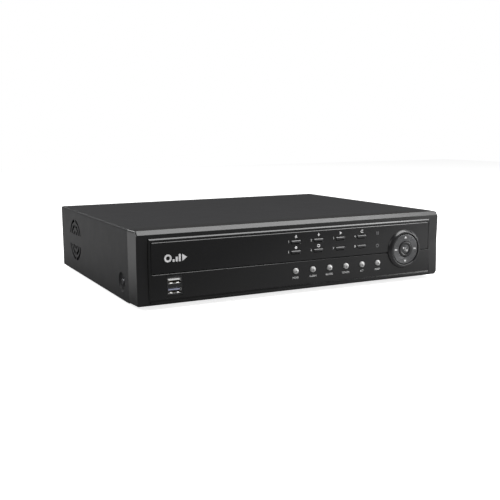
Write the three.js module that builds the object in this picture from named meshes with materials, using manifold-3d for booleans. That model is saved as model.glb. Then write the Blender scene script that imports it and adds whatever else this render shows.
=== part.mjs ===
// Compact eight-channel digital video recorder: a folded steel case with a moulded front bezel.
// Millimetres, +Z up, front face towards -Y. Pieces are drawn in the case frame (x to the right seen from
// the front, y = depth behind the bezel's front edge, z = height above the case's underside), and one outer
// group moves that frame so that the origin is the centre of the footprint, on the surface under the feet.
import * as THREE from "three";
import { mergeVertices } from "three/addons/utils/BufferGeometryUtils.js";
import Module from "manifold-3d";

const wasm = await Module();
wasm.setup();

// ---------------------------------------------------------------- driving dimensions
const CASE_WIDTH = 325;
const CASE_HEIGHT = 65; // without the feet
const CASE_DEPTH = 250; // bezel and steel case, without knobs and sockets
const BEZEL_DEPTH = 19;
const FOOT_HEIGHT = 4;
const FRONT_PROUD = 4.5; // how far the navigation ring stands in front of the bezel
const REAR_PROUD = 15; // how far the video sockets stand behind the case
const SHEET = 1; // steel thickness
const GAP = 0.3; // fitting gap between neighbouring pieces
const ROUND = 24; // sides of a round piece
const SMALL_ROUND = 12;

const HALF = CASE_WIDTH / 2;
const COVER_INSIDE = HALF - SHEET;
const TRAY_HALF = COVER_INSIDE - GAP;
const SEAM = BEZEL_DEPTH + GAP; // where the steel case starts
const REAR_LIP = CASE_DEPTH - SHEET; // the cover's turned-down rear lip starts here
const REAR_WALL = REAR_LIP - GAP - SHEET; // inner face of the tray's rear wall

// Front panel: the flat plate set in the bezel
const PANEL = { half: 150.9, bottom: 2.4, top: 57.9, face: -1, back: 2 };
const WINDOW = { half: 148.7, bottom: 27.3, top: 54.8, thickness: 1 };
const BOARD = { front: 13.5, back: 15.1 }; // key board behind the panel

// Channel keys: two rows of four
const KEY = { width: 10.4, height: 2.8, pitch: 24.6, firstX: -6.9, rows: [45.8, 36.2], proud: 0.9 };
const PRESS = 0.8; // travel of every push button
const SWITCH = { side: 6, front: 9.2 }; // tact switches on the key board
const STEM_END = SWITCH.front - PRESS - 0.2;

// Status lights and navigation pad
const LENS = { radius: 2.8, pitch: 18.64, firstX: -7, z: 18.2, count: 6, proud: 2.2 };
const NAV = { x: 117.9, z: 29.7, outer: 19.4, bore: 15.6, rocker: 15.2, hub: 8.2, button: 7.75 };
const NAV_SWITCH_RADIUS = 11;

// Double USB socket
const USB = { x: -127.6, z: 16.3, width: 14.6, height: 17, portWidth: 12.6, portHeight: 5.4, portPitch: 8.6 };

// Side fan and its grille
const FAN = { depth: 194, z: 34, side: 50, thickness: 10, bore: 23.7, rotor: 22.8, hub: 10 };
const GRILLE = { rings: [8.5, 14.4, 20.3], slot: 3.2, spoke: 3.4 };
const DIMPLE = { depth: 38, z: 16, outer: 8.9, floor: 5.5, sunk: 2.4 };

// Disk drive (3.5 inch) and main board
const DISK = { x0: -140, x1: 7, y0: 38, y1: 139.6, z0: 4, z1: 30.1 };
const DISK_HOLES = { fromEnd: 41.28, pitch: 44.45, across: 95.25 };
const MAIN = { x0: -146, x1: 136, y0: 150, y1: 246.5, z0: 8, z1: 9.6 };
const SOCKET_BASE = MAIN.z1 + GAP;
const SOCKET_BACK = REAR_WALL - GAP; // where the socket bodies stop inside the rear wall

// Rear sockets
const VIDEO = { xs: [118, 100, 82, 64], rows: [20.5, 43.5], outX: 44, collar: 6.3, barrel: 4.8, bore: 3.4 };
const AUDIO = { xs: [24, 10], rows: [19, 41], barrel: 4.1, collar: 5 };
const VGA = { x: -22, z: 44 };
const ETHERNET = { x: -22, width: 16, height: 13.6 };
const TERMINAL = { x: -62, z: 17.5, width: 32, height: 11 };
const DC = { x: 146, z: 18, radius: 4.6, bore: 3.2 };
const POWER = { x: 146, z: 43, width: 15, height: 21, tilt: 9 };
const VENT = { x0: -149, pitch: 7, count: 7, z0: 16, z1: 48, width: 3 };

const FEET = { x: 132, front: 46, rear: 224, radius: 8 };

// ---------------------------------------------------------------- materials
const paint = (color, roughness, metalness = 0) =>
  new THREE.MeshStandardMaterial({ color, roughness, metalness });
const MATERIALS = {
  blackSteel: paint(0x2b2b2b, 0.55, 0.2),
  bezelPlastic: paint(0x2a2a2b, 0.3),
  panelPlastic: paint(0x0d0d0e, 0.2),
  windowPlastic: paint(0x060607, 0.08),
  keyPlastic: paint(0x19191b, 0.3),
  ringPlastic: paint(0x1c1c1d, 0.25),
  rockerPlastic: paint(0x3c3f40, 0.4),
  lens: paint(0xe8e8e4, 0.15),
  silver: paint(0xc9cacb, 0.25, 1),
  nickel: paint(0xb4b2aa, 0.3, 1),
  white: paint(0xe6e6e2, 0.4),
  blue: paint(0x5c6bb0, 0.4),
  board: paint(0x17512b, 0.5),
  diskAlloy: paint(0x9b9ea1, 0.4, 1),
  blackPlastic: paint(0x111112, 0.5),
  greenPlastic: paint(0x1f8a4c, 0.45),
  rubber: paint(0x151515, 0.9),
  ribbon: paint(0x8d9094, 0.6),
  redCable: paint(0x9b1c1c, 0.5),
  zinc: paint(0x1d1d1e, 0.35, 1),
};

// ---------------------------------------------------------------- solids
// A closed three.js geometry as a manifold solid.
function toSolid(geometry) {
  const bare = geometry.index ? geometry.toNonIndexed() : geometry.clone();
  bare.deleteAttribute("normal");
  bare.deleteAttribute("uv");
  const merged = mergeVertices(bare, 1e-4);
  const mesh = new wasm.Mesh({
    numProp: 3,
    vertProperties: merged.attributes.position.array,
    triVerts: new Uint32Array(merged.index.array),
  });
  return new wasm.Manifold(mesh);
}

// A manifold solid as a three.js geometry.
function toGeometry(solid) {
  const { numProp, numVert, vertProperties, triVerts } = solid.getMesh();
  const position = new Float32Array(numVert * 3);
  for (let i = 0; i < numVert; i++) position.set(vertProperties.subarray(i * numProp, i * numProp + 3), i * 3);
  return new THREE.BufferGeometry()
    .setAttribute("position", new THREE.BufferAttribute(position, 3))
    .setIndex(new THREE.BufferAttribute(new Uint32Array(triVerts), 1));
}

const join = (solids) => solids.reduce((whole, part) => whole.add(part));
const cut = (solid, tools) => tools.reduce((whole, tool) => whole.subtract(tool), solid);

// A box from its limits along each axis.
function block([x0, x1], [y0, y1], [z0, z1]) {
  return toSolid(
    new THREE.BoxGeometry(x1 - x0, y1 - y0, z1 - z0).translate((x0 + x1) / 2, (y0 + y1) / 2, (z0 + z1) / 2),
  );
}

const flat = (depth, curveSegments) => ({ depth, bevelEnabled: false, curveSegments });

// A shape seen from the front (x, z), between two depths.
const frontPrism = (shape, y0, y1, curveSegments = 6) =>
  toSolid(
    new THREE.ExtrudeGeometry(shape, flat(y1 - y0, curveSegments)).rotateX(Math.PI / 2).translate(0, y1, 0),
  );

// A shape seen from the side (y, z), between two x values.
function sidePrism(shape, x0, x1, curveSegments = 6) {
  const turn = new THREE.Matrix4().makeBasis(
    new THREE.Vector3(0, 1, 0),
    new THREE.Vector3(0, 0, 1),
    new THREE.Vector3(1, 0, 0),
  );
  return toSolid(
    new THREE.ExtrudeGeometry(shape, flat(x1 - x0, curveSegments)).applyMatrix4(turn).translate(x0, 0, 0),
  );
}

// A shape seen from above (x, y), between two heights.
const planPrism = (shape, z0, z1, curveSegments = 6) =>
  toSolid(new THREE.ExtrudeGeometry(shape, flat(z1 - z0, curveSegments)).translate(0, 0, z0));

const polygon = (points) => new THREE.Shape(points.map(([a, b]) => new THREE.Vector2(a, b)));

function roundedRect(width, height, radius, cx = 0, cy = 0) {
  const [a, b] = [width / 2 - radius, height / 2 - radius];
  const shape = new THREE.Shape();
  shape.absarc(cx + a, cy + b, radius, 0, Math.PI / 2);
  shape.absarc(cx - a, cy + b, radius, Math.PI / 2, Math.PI);
  shape.absarc(cx - a, cy - b, radius, Math.PI, 1.5 * Math.PI);
  shape.absarc(cx + a, cy - b, radius, 1.5 * Math.PI, 2 * Math.PI);
  shape.closePath();
  return shape;
}

// A turned piece about the depth axis: [radius, y] points with y falling, starting and ending on the axis,
// or closing on themselves.
function turned(profile, sides = ROUND) {
  const points = profile.map(([r, y]) => new THREE.Vector2(r, y));
  return toSolid(new THREE.LatheGeometry(points, sides));
}

// A straight round bar along the depth axis, from y0 to y1, centred on (x, z).
const bar = (radius, x, z, y0, y1, sides = SMALL_ROUND) =>
  turned([[0, y0], [radius, y0], [radius, y1], [0, y1]], sides).translate([x, 0, z]);

// The same bar stood up along z, or laid along x.
const post = (radius, x, y, z0, z1, sides = SMALL_ROUND) =>
  turned([[0, z0], [radius, z0], [radius, z1], [0, z1]], sides).rotate([90, 0, 0]).translate([x, y, 0]);
const sideBar = (radius, y, z, x0, x1, sides = SMALL_ROUND) =>
  turned([[0, x0], [radius, x0], [radius, x1], [0, x1]], sides).rotate([0, 0, -90]).translate([0, y, z]);

function piece(name, solid, material, position = [0, 0, 0]) {
  const mesh = new THREE.Mesh(toGeometry(solid), material);
  mesh.name = name;
  mesh.position.set(...position);
  return mesh;
}

// ---------------------------------------------------------------- steel case
// Arc slots of the fan grille, as cutters along x: rings of slots parted by an upright and a level spoke.
function grilleCutter(x0, x1) {
  const spokes = [0, 90].map((angle) =>
    block([x0, x1], [-30, 30], [-GRILLE.spoke / 2, GRILLE.spoke / 2]).rotate([angle, 0, 0]),
  );
  const rings = GRILLE.rings.map((r) =>
    sideBar(r + GRILLE.slot / 2, 0, 0, x0, x1, ROUND).subtract(
      sideBar(r - GRILLE.slot / 2, 0, 0, x0 - 1, x1 + 1, ROUND),
    ),
  );
  return cut(join(rings), spokes).translate([0, FAN.depth, FAN.z]);
}

// The sheet sinks inwards round a case screw: a dish with a hole in its floor, for the left side.
function dish() {
  const { outer, floor, sunk } = DIMPLE;
  const profile = [
    [outer + 0.6, 0],
    [outer, 0],
    [floor, -sunk],
    [1.9, -sunk],
    [1.9, -sunk - SHEET],
    [floor + 0.3, -sunk - SHEET],
    [outer + 0.6, -SHEET],
    [outer + 0.6, 0],
  ];
  return turned(profile, 16)
    .rotate([0, 0, 90])
    .translate([-HALF, DIMPLE.depth, DIMPLE.z]);
}

function topCover() {
  const shell = block([-HALF, HALF], [SEAM, CASE_DEPTH], [0, CASE_HEIGHT]).subtract(
    block([-COVER_INSIDE, COVER_INSIDE], [SEAM - 1, REAR_LIP], [-1, CASE_HEIGHT - SHEET]),
  );
  const rearOpening = block([-COVER_INSIDE, COVER_INSIDE], [REAR_LIP - 1, CASE_DEPTH + 1], [-1, 56]);
  const screwHoles = REAR_SCREWS_X.map((x) => bar(1.9, x, REAR_SCREW_Z, REAR_LIP - 1, CASE_DEPTH + 1, 6));
  const dimpleHole = sideBar(DIMPLE.outer + 0.5, DIMPLE.depth, DIMPLE.z, -HALF - 1, -HALF + 2, 16);
  const grille = grilleCutter(-HALF - 1, -HALF + 2);
  const left = cut(shell, [rearOpening, ...screwHoles, dimpleHole, grille]).add(dish());
  const sideVents = Array.from({ length: VENT.count }, (_, i) =>
    block([HALF - 2, HALF + 1], [170 + i * VENT.pitch, 170 + i * VENT.pitch + VENT.width], [18, 46]),
  );
  return cut(left.subtract(dimpleHole.mirror([1, 0, 0])), sideVents).add(dish().mirror([1, 0, 0]));
}

const REAR_SCREWS_X = [-120, 0, 120];
const REAR_SCREW_Z = 60.3;
const diskHoles = [0, 1].flatMap((i) =>
  [-1, 1].map((side) => [
    DISK.x1 - DISK_HOLES.fromEnd - i * DISK_HOLES.pitch,
    (DISK.y0 + DISK.y1) / 2 + (side * DISK_HOLES.across) / 2,
  ]),
);
const boardPosts = [MAIN.x0 + 6, MAIN.x1 - 6].flatMap((x) => [MAIN.y0 + 6, MAIN.y0 + 66].map((y) => [x, y]));
const feetAt = [
  ["foot_front_left", -FEET.x, FEET.front],
  ["foot_front_right", FEET.x, FEET.front],
  ["foot_rear_left", -FEET.x, FEET.rear],
  ["foot_rear_right", FEET.x, FEET.rear],
];

// Openings in the rear wall, one for each socket.
function rearCutters() {
  const [y0, y1] = [REAR_WALL - 1, REAR_WALL + SHEET + 1];
  const window = (x, z, w, h) => block([x - w / 2, x + w / 2], [y0, y1], [z - h / 2, z + h / 2]);
  const round = (r, x, z) => bar((r + GAP) / Math.cos(Math.PI / 8), x, z, y0, y1, 8);
  const videos = [...VIDEO.xs.flatMap((x) => VIDEO.rows.map((z) => [x, z])), [VIDEO.outX, VIDEO.rows[1]]];
  const vents = Array.from({ length: VENT.count }, (_, i) =>
    block([VENT.x0 + i * VENT.pitch, VENT.x0 + i * VENT.pitch + VENT.width], [y0, y1], [VENT.z0, VENT.z1]),
  );
  return [
    ...videos.map(([x, z]) => round(VIDEO.collar, x, z)),
    ...AUDIO.xs.flatMap((x) => AUDIO.rows.map((z) => round(AUDIO.collar, x, z))),
    window(VGA.x, VGA.z, 26, 10.6),
    window(ETHERNET.x, SOCKET_BASE + ETHERNET.height / 2, ETHERNET.width + 0.8, ETHERNET.height + 0.8),
    window(TERMINAL.x, TERMINAL.z, TERMINAL.width + 0.8, TERMINAL.height + 0.8),
    window(POWER.x, POWER.z, POWER.width - 1.2, POWER.height - 1.2),
    round(DC.radius, DC.x, DC.z),
    ...REAR_SCREWS_X.map((x) => bar(1.9, x, REAR_SCREW_Z, y0, y1, 6)),
    ...vents,
  ];
}

function baseTray() {
  const top = CASE_HEIGHT - SHEET - GAP;
  const floor = block([-TRAY_HALF, TRAY_HALF], [SEAM, REAR_WALL + SHEET], [0, SHEET]);
  const rearWall = block([-TRAY_HALF, TRAY_HALF], [REAR_WALL, REAR_WALL + SHEET], [0, top]);
  const frontWall = block([-TRAY_HALF, TRAY_HALF], [SEAM, SEAM + SHEET], [0, top]);
  const lip = block([-TRAY_HALF, -TRAY_HALF + SHEET], [SEAM, REAR_WALL + SHEET], [0, 6.5]);
  const tabX = -HALF + DIMPLE.sunk + SHEET + GAP;
  const tab = block([tabX, tabX + SHEET], [DIMPLE.depth - 9, DIMPLE.depth + 9], [0, DIMPLE.z + 9]).subtract(
    sideBar(1.9, DIMPLE.depth, DIMPLE.z, tabX - 1, tabX + 2, 6),
  );
  const diskBosses = diskHoles.map(([x, y]) => post(4.5, x, y, 0.5, DISK.z0 - GAP, 8));
  const posts = boardPosts.map(([x, y]) => post(3.5, x, y, 0.5, MAIN.z0 - GAP, 8));
  const rightSide = [lip, tab].map((side) => side.mirror([1, 0, 0]));
  const body = join([floor, rearWall, frontWall, lip, tab, ...rightSide, ...diskBosses, ...posts]);
  const cableWindow = block([70, 110], [SEAM - 1, SEAM + SHEET + 1], [16, 34]);
  const diskScrewHoles = diskHoles.map(([x, y]) => post(1.9, x, y, -1, DISK.z0, 6));
  const footHoles = feetAt.map(([, x, y]) => post(2.5, x, y, -1, SHEET + 1, 6));
  const floorVents = Array.from({ length: 4 }, (_, i) =>
    block([50 + i * 12, 54 + i * 12], [60, 120], [-1, SHEET + 1]),
  );
  return cut(body, [cableWindow, ...diskScrewHoles, ...footHoles, ...floorVents, ...rearCutters()]);
}

// A foot: a tapered rubber disc with a press stud through the floor.
const foot = () =>
  turned([
    [0, -FOOT_HEIGHT],
    [FEET.radius - 1, -FOOT_HEIGHT],
    [FEET.radius, -GAP / 3],
    [2, -GAP / 3],
    [2, SHEET + 1.4],
    [0, SHEET + 1.4],
  ], 12).rotate([90, 0, 0]);

// A pan-head screw along the depth axis: its head ends at y = 0, and its shank runs to y = length.
const screw = (head, height, shank, length) =>
  turned([
    [0, -height],
    [head * 0.6, -height],
    [head, -height * 0.35],
    [head, 0],
    [shank, 0],
    [shank, length],
    [0, length],
  ], 10);

// ---------------------------------------------------------------- bezel and front panel
const BEVEL = { drop: 3.5, run: 3, inset: 1.3 };
const CHEEK = { waist: 36.2, sunk: 0.8, bottom: 2.1 };

function frontBezel() {
  const faceTop = CASE_HEIGHT - BEVEL.drop;
  const side = polygon([
    [1.6, 0],
    [BEZEL_DEPTH, 0],
    [BEZEL_DEPTH, CASE_HEIGHT],
    [BEVEL.run, CASE_HEIGHT],
    [0, faceTop],
    [0, 2],
  ]);
  const plan = polygon([
    [-HALF, BEZEL_DEPTH],
    [-HALF + BEVEL.inset, 0],
    [HALF - BEVEL.inset, 0],
    [HALF, BEZEL_DEPTH],
  ]);
  const outer = sidePrism(side, -HALF, HALF).intersect(planPrism(plan, -1, CASE_HEIGHT + 1));
  const seat = block(
    [-PANEL.half - GAP, PANEL.half + GAP],
    [-5, PANEL.back + GAP],
    [PANEL.bottom - GAP, PANEL.top + GAP],
  );
  const through = block([-148, 148], [0, 6], [5, 55]);
  const cavity = block([-HALF + 2.6, HALF - 2.6], [5, BEZEL_DEPTH + 1], [2.4, CASE_HEIGHT - 2.6]);
  const waist = polygon([
    [-2, faceTop],
    [0, faceTop],
    [CHEEK.sunk, CHEEK.waist],
    [0, CHEEK.bottom],
    [-2, CHEEK.bottom],
  ]);
  const cheeks = [
    sidePrism(waist, -HALF - 1, -PANEL.half - GAP),
    sidePrism(waist, PANEL.half + GAP, HALF + 1),
  ];
  return cut(outer, [seat, through, cavity, ...cheeks]);
}

const keyCentres = KEY.rows.flatMap((z) => [0, 1, 2, 3].map((i) => [KEY.firstX + i * KEY.pitch, z]));
const lensXs = Array.from({ length: LENS.count }, (_, i) => LENS.firstX + i * LENS.pitch);
const keyHole = ([x, z]) =>
  frontPrism(roundedRect(KEY.width + 2 * GAP, KEY.height + 2 * GAP, 0.8, x, z), -5, 5, 1);
const navHole = () => bar(NAV.outer - 1, NAV.x, NAV.z, -5, 5, ROUND);

function frontPanel() {
  const { half, bottom, top, face, back } = PANEL;
  const side = polygon([
    [back, bottom],
    [back, top],
    [face + 1.1, top],
    [face, top - 1.1],
    [face, bottom + 2.8],
    [face + 1.1, bottom],
  ]);
  const plan = polygon([
    [-half, back],
    [-half, face + 1],
    [-half + 1, face],
    [half - 1, face],
    [half, face + 1],
    [half, back],
  ]);
  const plate = sidePrism(side, -half, half).intersect(planPrism(plan, 0, CASE_HEIGHT));
  const recess = block(
    [-WINDOW.half - GAP, WINDOW.half + GAP],
    [-5, face + WINDOW.thickness + GAP],
    [WINDOW.bottom - GAP, WINDOW.top + GAP],
  );
  const usb = frontPrism(roundedRect(USB.width + 2 * GAP, USB.height + 2 * GAP, 0.8, USB.x, USB.z), -5, 5, 3);
  const lensHoles = lensXs.map((x) => bar(LENS.radius + GAP, x, LENS.z, -5, 5, SMALL_ROUND));
  return cut(plate, [recess, usb, navHole(), ...lensHoles, ...keyCentres.map(keyHole)]);
}

function windowStrip() {
  const { half, bottom, top, thickness } = WINDOW;
  const strip = frontPrism(
    roundedRect(2 * half, top - bottom, 1, 0, (top + bottom) / 2),
    PANEL.face,
    PANEL.face + thickness,
    3,
  );
  return cut(strip, [navHole(), ...keyCentres.map(keyHole)]);
}

// A channel key, about its own centre: cap, retaining flange behind the panel, and stem to its switch.
function channelKey() {
  const cap = roundedRect(KEY.width, KEY.height, 0.6);
  const flangeFront = PANEL.back + GAP;
  return join([
    frontPrism(cap, PANEL.face - KEY.proud, flangeFront + 0.4, 2),
    block([-6.2, 6.2], [flangeFront, flangeFront + 0.8], [-2.35, 2.35]),
    block([-1.6, 1.6], [flangeFront, STEM_END], [-1.2, 1.2]),
  ]);
}

// A status lens: a domed cap that runs back to the board as a light pipe.
function statusLens() {
  const { radius, proud } = LENS;
  const dome = [0.4, 0.75, 1].map((t) => {
    const angle = (t * Math.PI) / 2;
    return [radius * Math.sin(angle), PANEL.face - 0.4 - (proud - 0.4) * Math.cos(angle)];
  });
  return turned([
    [0, PANEL.face - proud],
    ...dome,
    [radius, PANEL.back + GAP],
    [radius + 0.8, PANEL.back + GAP],
    [radius + 0.8, PANEL.back + 1],
    [1.9, PANEL.back + 1],
    [1.9, BOARD.front - GAP],
    [0, BOARD.front - GAP],
  ], SMALL_ROUND);
}

// ---------------------------------------------------------------- navigation pad
function navSurround() {
  const { outer, bore } = NAV;
  return turned([
    [outer, PANEL.face - GAP],
    [outer - 1.3, PANEL.face - GAP],
    [outer - 1.3, 3],
    [bore, 3],
    [bore, -4],
    [bore + 0.6, -FRONT_PROUD],
    [bore + 2, -4.1],
    [bore + 3.2, -2.8],
    [outer, PANEL.face - GAP],
  ], 32);
}

function navRocker() {
  const { rocker, hub } = NAV;
  return turned([
    [rocker, -1.2],
    [hub, -1.2],
    [hub, -3.7],
    [rocker - 0.8, -3.9],
    [rocker, -3.3],
    [rocker, -1.2],
  ], 32);
}

// The clip-on carrier behind the rocker: a ring with four legs, one over each switch.
function navCarrier() {
  const ring = turned([[13.5, -0.4], [13.5, 1.5], [8.4, 1.5], [8.4, -0.4], [13.5, -0.4]], 20);
  const legs = [0, 90, 180, 270].map((angle) => {
    const a = THREE.MathUtils.degToRad(angle);
    return bar(1.5, NAV_SWITCH_RADIUS * Math.cos(a), NAV_SWITCH_RADIUS * Math.sin(a), 1, STEM_END, 8);
  });
  return join([ring, ...legs]);
}

function navEnterButton() {
  const { button } = NAV;
  return turned([
    [0, -3.7],
    [button - 1.6, -3.7],
    [button - 0.8, -4.2],
    [button, -3.8],
    [button, 1.4],
    [2, 1.4],
    [2, STEM_END],
    [0, STEM_END],
  ], 24);
}

// ---------------------------------------------------------------- front electronics
function frontBoard() {
  const board = block([-140, 146], [BOARD.front, BOARD.back], [6, 56]);
  const navSwitches = [
    [0, 0],
    ...[0, 90, 180, 270].map((angle) => {
      const a = THREE.MathUtils.degToRad(angle);
      return [NAV_SWITCH_RADIUS * Math.cos(a), NAV_SWITCH_RADIUS * Math.sin(a)];
    }),
  ].map(([x, z]) => [NAV.x + x, NAV.z + z]);
  const switches = [...keyCentres, ...navSwitches].map(([x, z]) => {
    const half = SWITCH.side / 2;
    const bodyFront = SWITCH.front + 0.7;
    const body = block([x - half, x + half], [bodyFront, BOARD.front + 0.2], [z - half, z + half]);
    return body.add(bar(1.7, x, z, SWITCH.front, bodyFront + 0.2, 8));
  });
  const header = block([76, 104], [BOARD.back - 0.2, BOARD.back + 3], [22, 28]);
  return join([board, ...switches, header]);
}

const portZ = [USB.z + USB.portPitch / 2, USB.z - USB.portPitch / 2];

// The double socket's metal can, open at both ports, with a slot at the back of each for its tongue.
function usbShell() {
  const { x, z, width, height, portWidth, portHeight } = USB;
  const can = frontPrism(roundedRect(width, height, 0.6, x, z), PANEL.face + 0.4, BOARD.front - GAP, 3);
  const ports = portZ.map((pz) =>
    block([x - portWidth / 2, x + portWidth / 2], [-5, 9.5], [pz - portHeight / 2, pz + portHeight / 2]),
  );
  const slots = portZ.map((pz) => block([x - 6, x + 6], [9, BOARD.front + 1], [pz - 0.35, pz + 2.25]));
  return cut(can, [...ports, ...slots]);
}
const usbTongue = (pz) => block([USB.x - 5.7, USB.x + 5.7], [0.8, BOARD.front - GAP], [pz - 0.05, pz + 1.95]);

// ---------------------------------------------------------------- inside the case
function hardDisk() {
  const { x0, x1, y0, y1, z0, z1 } = DISK;
  const body = block([x0, x1], [y0, y1], [z0, z1 - 3]);
  const lidOutline = roundedRect(x1 - x0 - 6, y1 - y0 - 4, 8, (x0 + x1) / 2 - 2, (y0 + y1) / 2);
  const lid = planPrism(lidOutline, z1 - 3.5, z1, 4);
  const holes = diskHoles.map(([x, y]) => post(1.9, x, y, z0 - 1, z0 + 5, 6));
  return cut(body.add(lid), holes);
}

// The main board with its larger components soldered on.
function mainBoard() {
  const { x0, x1, y0, y1, z0, z1 } = MAIN;
  const part = (x, y, w, d, h) => block([x - w / 2, x + w / 2], [y - d / 2, y + d / 2], [z1 - 0.2, z1 + h]);
  const capacitor = (x, y, r, h) => post(r, x, y, z1 - 0.2, z1 + h, 10);
  const screwPads = boardPosts.map(([x, y]) => post(2.6, x, y, z1 - 0.2, z1 + 1.6, 6));
  return join([
    block([x0, x1], [y0, y1], [z0, z1]),
    part(-60, 178, 27, 27, 2.4),
    part(90, 157, 30, 6, 6.4),
    part(44, 157, 17, 6, 5.4),
    part(-105, 168, 12, 18, 1.6),
    part(-105, 196, 12, 18, 1.6),
    part(0, 175, 14, 14, 1.6),
    part(25, 195, 22, 16, 5),
    ...[60, 75, 90, 105].map((x) => capacitor(x, 212, 4, 11)),
    ...screwPads,
  ]);
}

// A finned heat sink over the processor.
function heatsink() {
  const [x, y, z] = [-60, 178, MAIN.z1 + 2.4 + GAP];
  const base = block([x - 20, x + 20], [y - 20, y + 20], [z, z + 3]);
  const fins = Array.from({ length: 9 }, (_, i) =>
    block([x - 20 + i * 4.83, x - 18.7 + i * 4.83], [y - 20, y + 20], [z + 2, z + 16]),
  );
  return join([base, ...fins]);
}

// The fan's square frame, along x: a round duct, and three struts that carry the motor cup.
function fanFrame() {
  const x0 = -COVER_INSIDE + 0.5;
  const [x1, half] = [x0 + FAN.thickness, FAN.side / 2];
  const body = sidePrism(roundedRect(FAN.side, FAN.side, 4), x0, x1, 4).subtract(
    sideBar(FAN.bore, 0, 0, x0 - 1, x1 + 1, ROUND),
  );
  const holes = [-20, 20].flatMap((y) => [-20, 20].map((z) => sideBar(2.15, y, z, x0 - 1, x1 + 1, 6)));
  const cup = sideBar(FAN.hub, 0, 0, x1 - 1.6, x1, 16);
  const struts = [0, 120, 240].map((angle) =>
    block([x1 - 1.6, x1], [0, half - 0.8], [-1.5, 1.5]).rotate([angle + 20, 0, 0]),
  );
  return join([cut(body, holes), cup, ...struts]);
}

// The rotor about its own centre: a hub cap with seven pitched blades, turning about x.
function fanRotor() {
  const [x0, x1] = [-3.9, 3.4];
  const blade = block([-3, 3], [7, FAN.rotor + 2], [-0.55, 0.55]).rotate([0, 38, 0]);
  const blades = Array.from({ length: 7 }, (_, i) => blade.rotate([(i * 360) / 7, 0, 0]));
  const reach = sideBar(FAN.rotor, 0, 0, x0, x1, ROUND);
  return sideBar(FAN.hub, 0, 0, x0, x1, 16).add(join(blades).intersect(reach));
}

// The flat ribbon from the key board to the main board: an outline of its side, given its width.
function ribbonCable() {
  const thick = 1;
  const run = [
    [BOARD.back + 3 + GAP, 25],
    [26, 25],
    [40, 13],
    [70, 11],
    [120, 11],
    [146, 20],
    [157, 20],
  ];
  const above = run.map(([y, z]) => [y, z + thick]).reverse();
  const plugEnd = [[156, 20], [156, MAIN.z1 + 6.4 + GAP], [157, MAIN.z1 + 6.4 + GAP]];
  return sidePrism(polygon([...run.slice(0, -1), ...plugEnd, ...above]), 77, 103);
}

// The disk's data lead: a flat lead from the drive's end to the main board.
function sataCable() {
  const path = new THREE.CatmullRomCurve3([
    new THREE.Vector3(DISK.x1 + 0.4, DISK.y0 + 34, DISK.z0 + 5),
    new THREE.Vector3(DISK.x1 + 8, DISK.y0 + 34, DISK.z0 + 5),
    new THREE.Vector3(DISK.x1 + 20, DISK.y0 + 40, DISK.z0 + 8),
    new THREE.Vector3(DISK.x1 + 30, DISK.y0 + 70, 18),
    new THREE.Vector3(DISK.x1 + 34, DISK.y0 + 98, 21),
    new THREE.Vector3(DISK.x1 + 37, DISK.y0 + 116, 18.5),
    new THREE.Vector3(DISK.x1 + 37, DISK.y0 + 119, MAIN.z1 + 6.9),
  ]);
  return toSolid(
    new THREE.ExtrudeGeometry(polygon([[-1, -3.5], [1, -3.5], [1, 3.5], [-1, 3.5]]), {
      steps: 20,
      bevelEnabled: false,
      extrudePath: path,
    }),
  );
}

// ---------------------------------------------------------------- rear sockets
// A bayonet video socket along the depth axis, from its body out past the rear wall.
function videoBarrel(x, z) {
  const end = CASE_DEPTH + REAR_PROUD;
  const { collar, barrel, bore } = VIDEO;
  return turned([
    [0, SOCKET_BACK - 1],
    [collar, SOCKET_BACK - 1],
    [collar, CASE_DEPTH + 2.5],
    [barrel, CASE_DEPTH + 2.5],
    [barrel, end],
    [bore, end],
    [bore, end - 9],
    [1.1, end - 9],
    [1.1, end - 4],
    [0, end - 4],
  ], SMALL_ROUND).add(bayonetPegs(barrel, end - 6)).translate([x, 0, z]);
}
const bayonetPegs = (radius, y) => sideBar(1, y, 0, -radius - 1.1, -radius + 0.6, 8).add(
  sideBar(1, y, 0, radius - 0.6, radius + 1.1, 8),
);

function videoSocket(x, rows) {
  const body = block([x - 7.6, x + 7.6], [SOCKET_BACK - 19, SOCKET_BACK], [SOCKET_BASE, rows.at(-1) + 8.4]);
  return join([body, ...rows.map((z) => videoBarrel(x, z))]);
}

function audioBlock() {
  const [low, high] = [AUDIO.xs[1] - 6.6, AUDIO.xs[0] + 6.6];
  const body = block([low, high], [SOCKET_BACK - 16, SOCKET_BACK], [SOCKET_BASE, AUDIO.rows[1] + 7]);
  const end = CASE_DEPTH + 9;
  const barrels = AUDIO.xs.flatMap((x) => AUDIO.rows.map((z) =>
    turned([
      [0, SOCKET_BACK - 1],
      [AUDIO.collar, SOCKET_BACK - 1],
      [AUDIO.collar, CASE_DEPTH + 0.6],
      [AUDIO.barrel, CASE_DEPTH + 0.6],
      [AUDIO.barrel, end],
      [1.6, end],
      [1.6, end - 7],
      [0, end - 7],
    ], SMALL_ROUND).translate([x, 0, z])));
  return join([body, ...barrels]);
}

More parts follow.
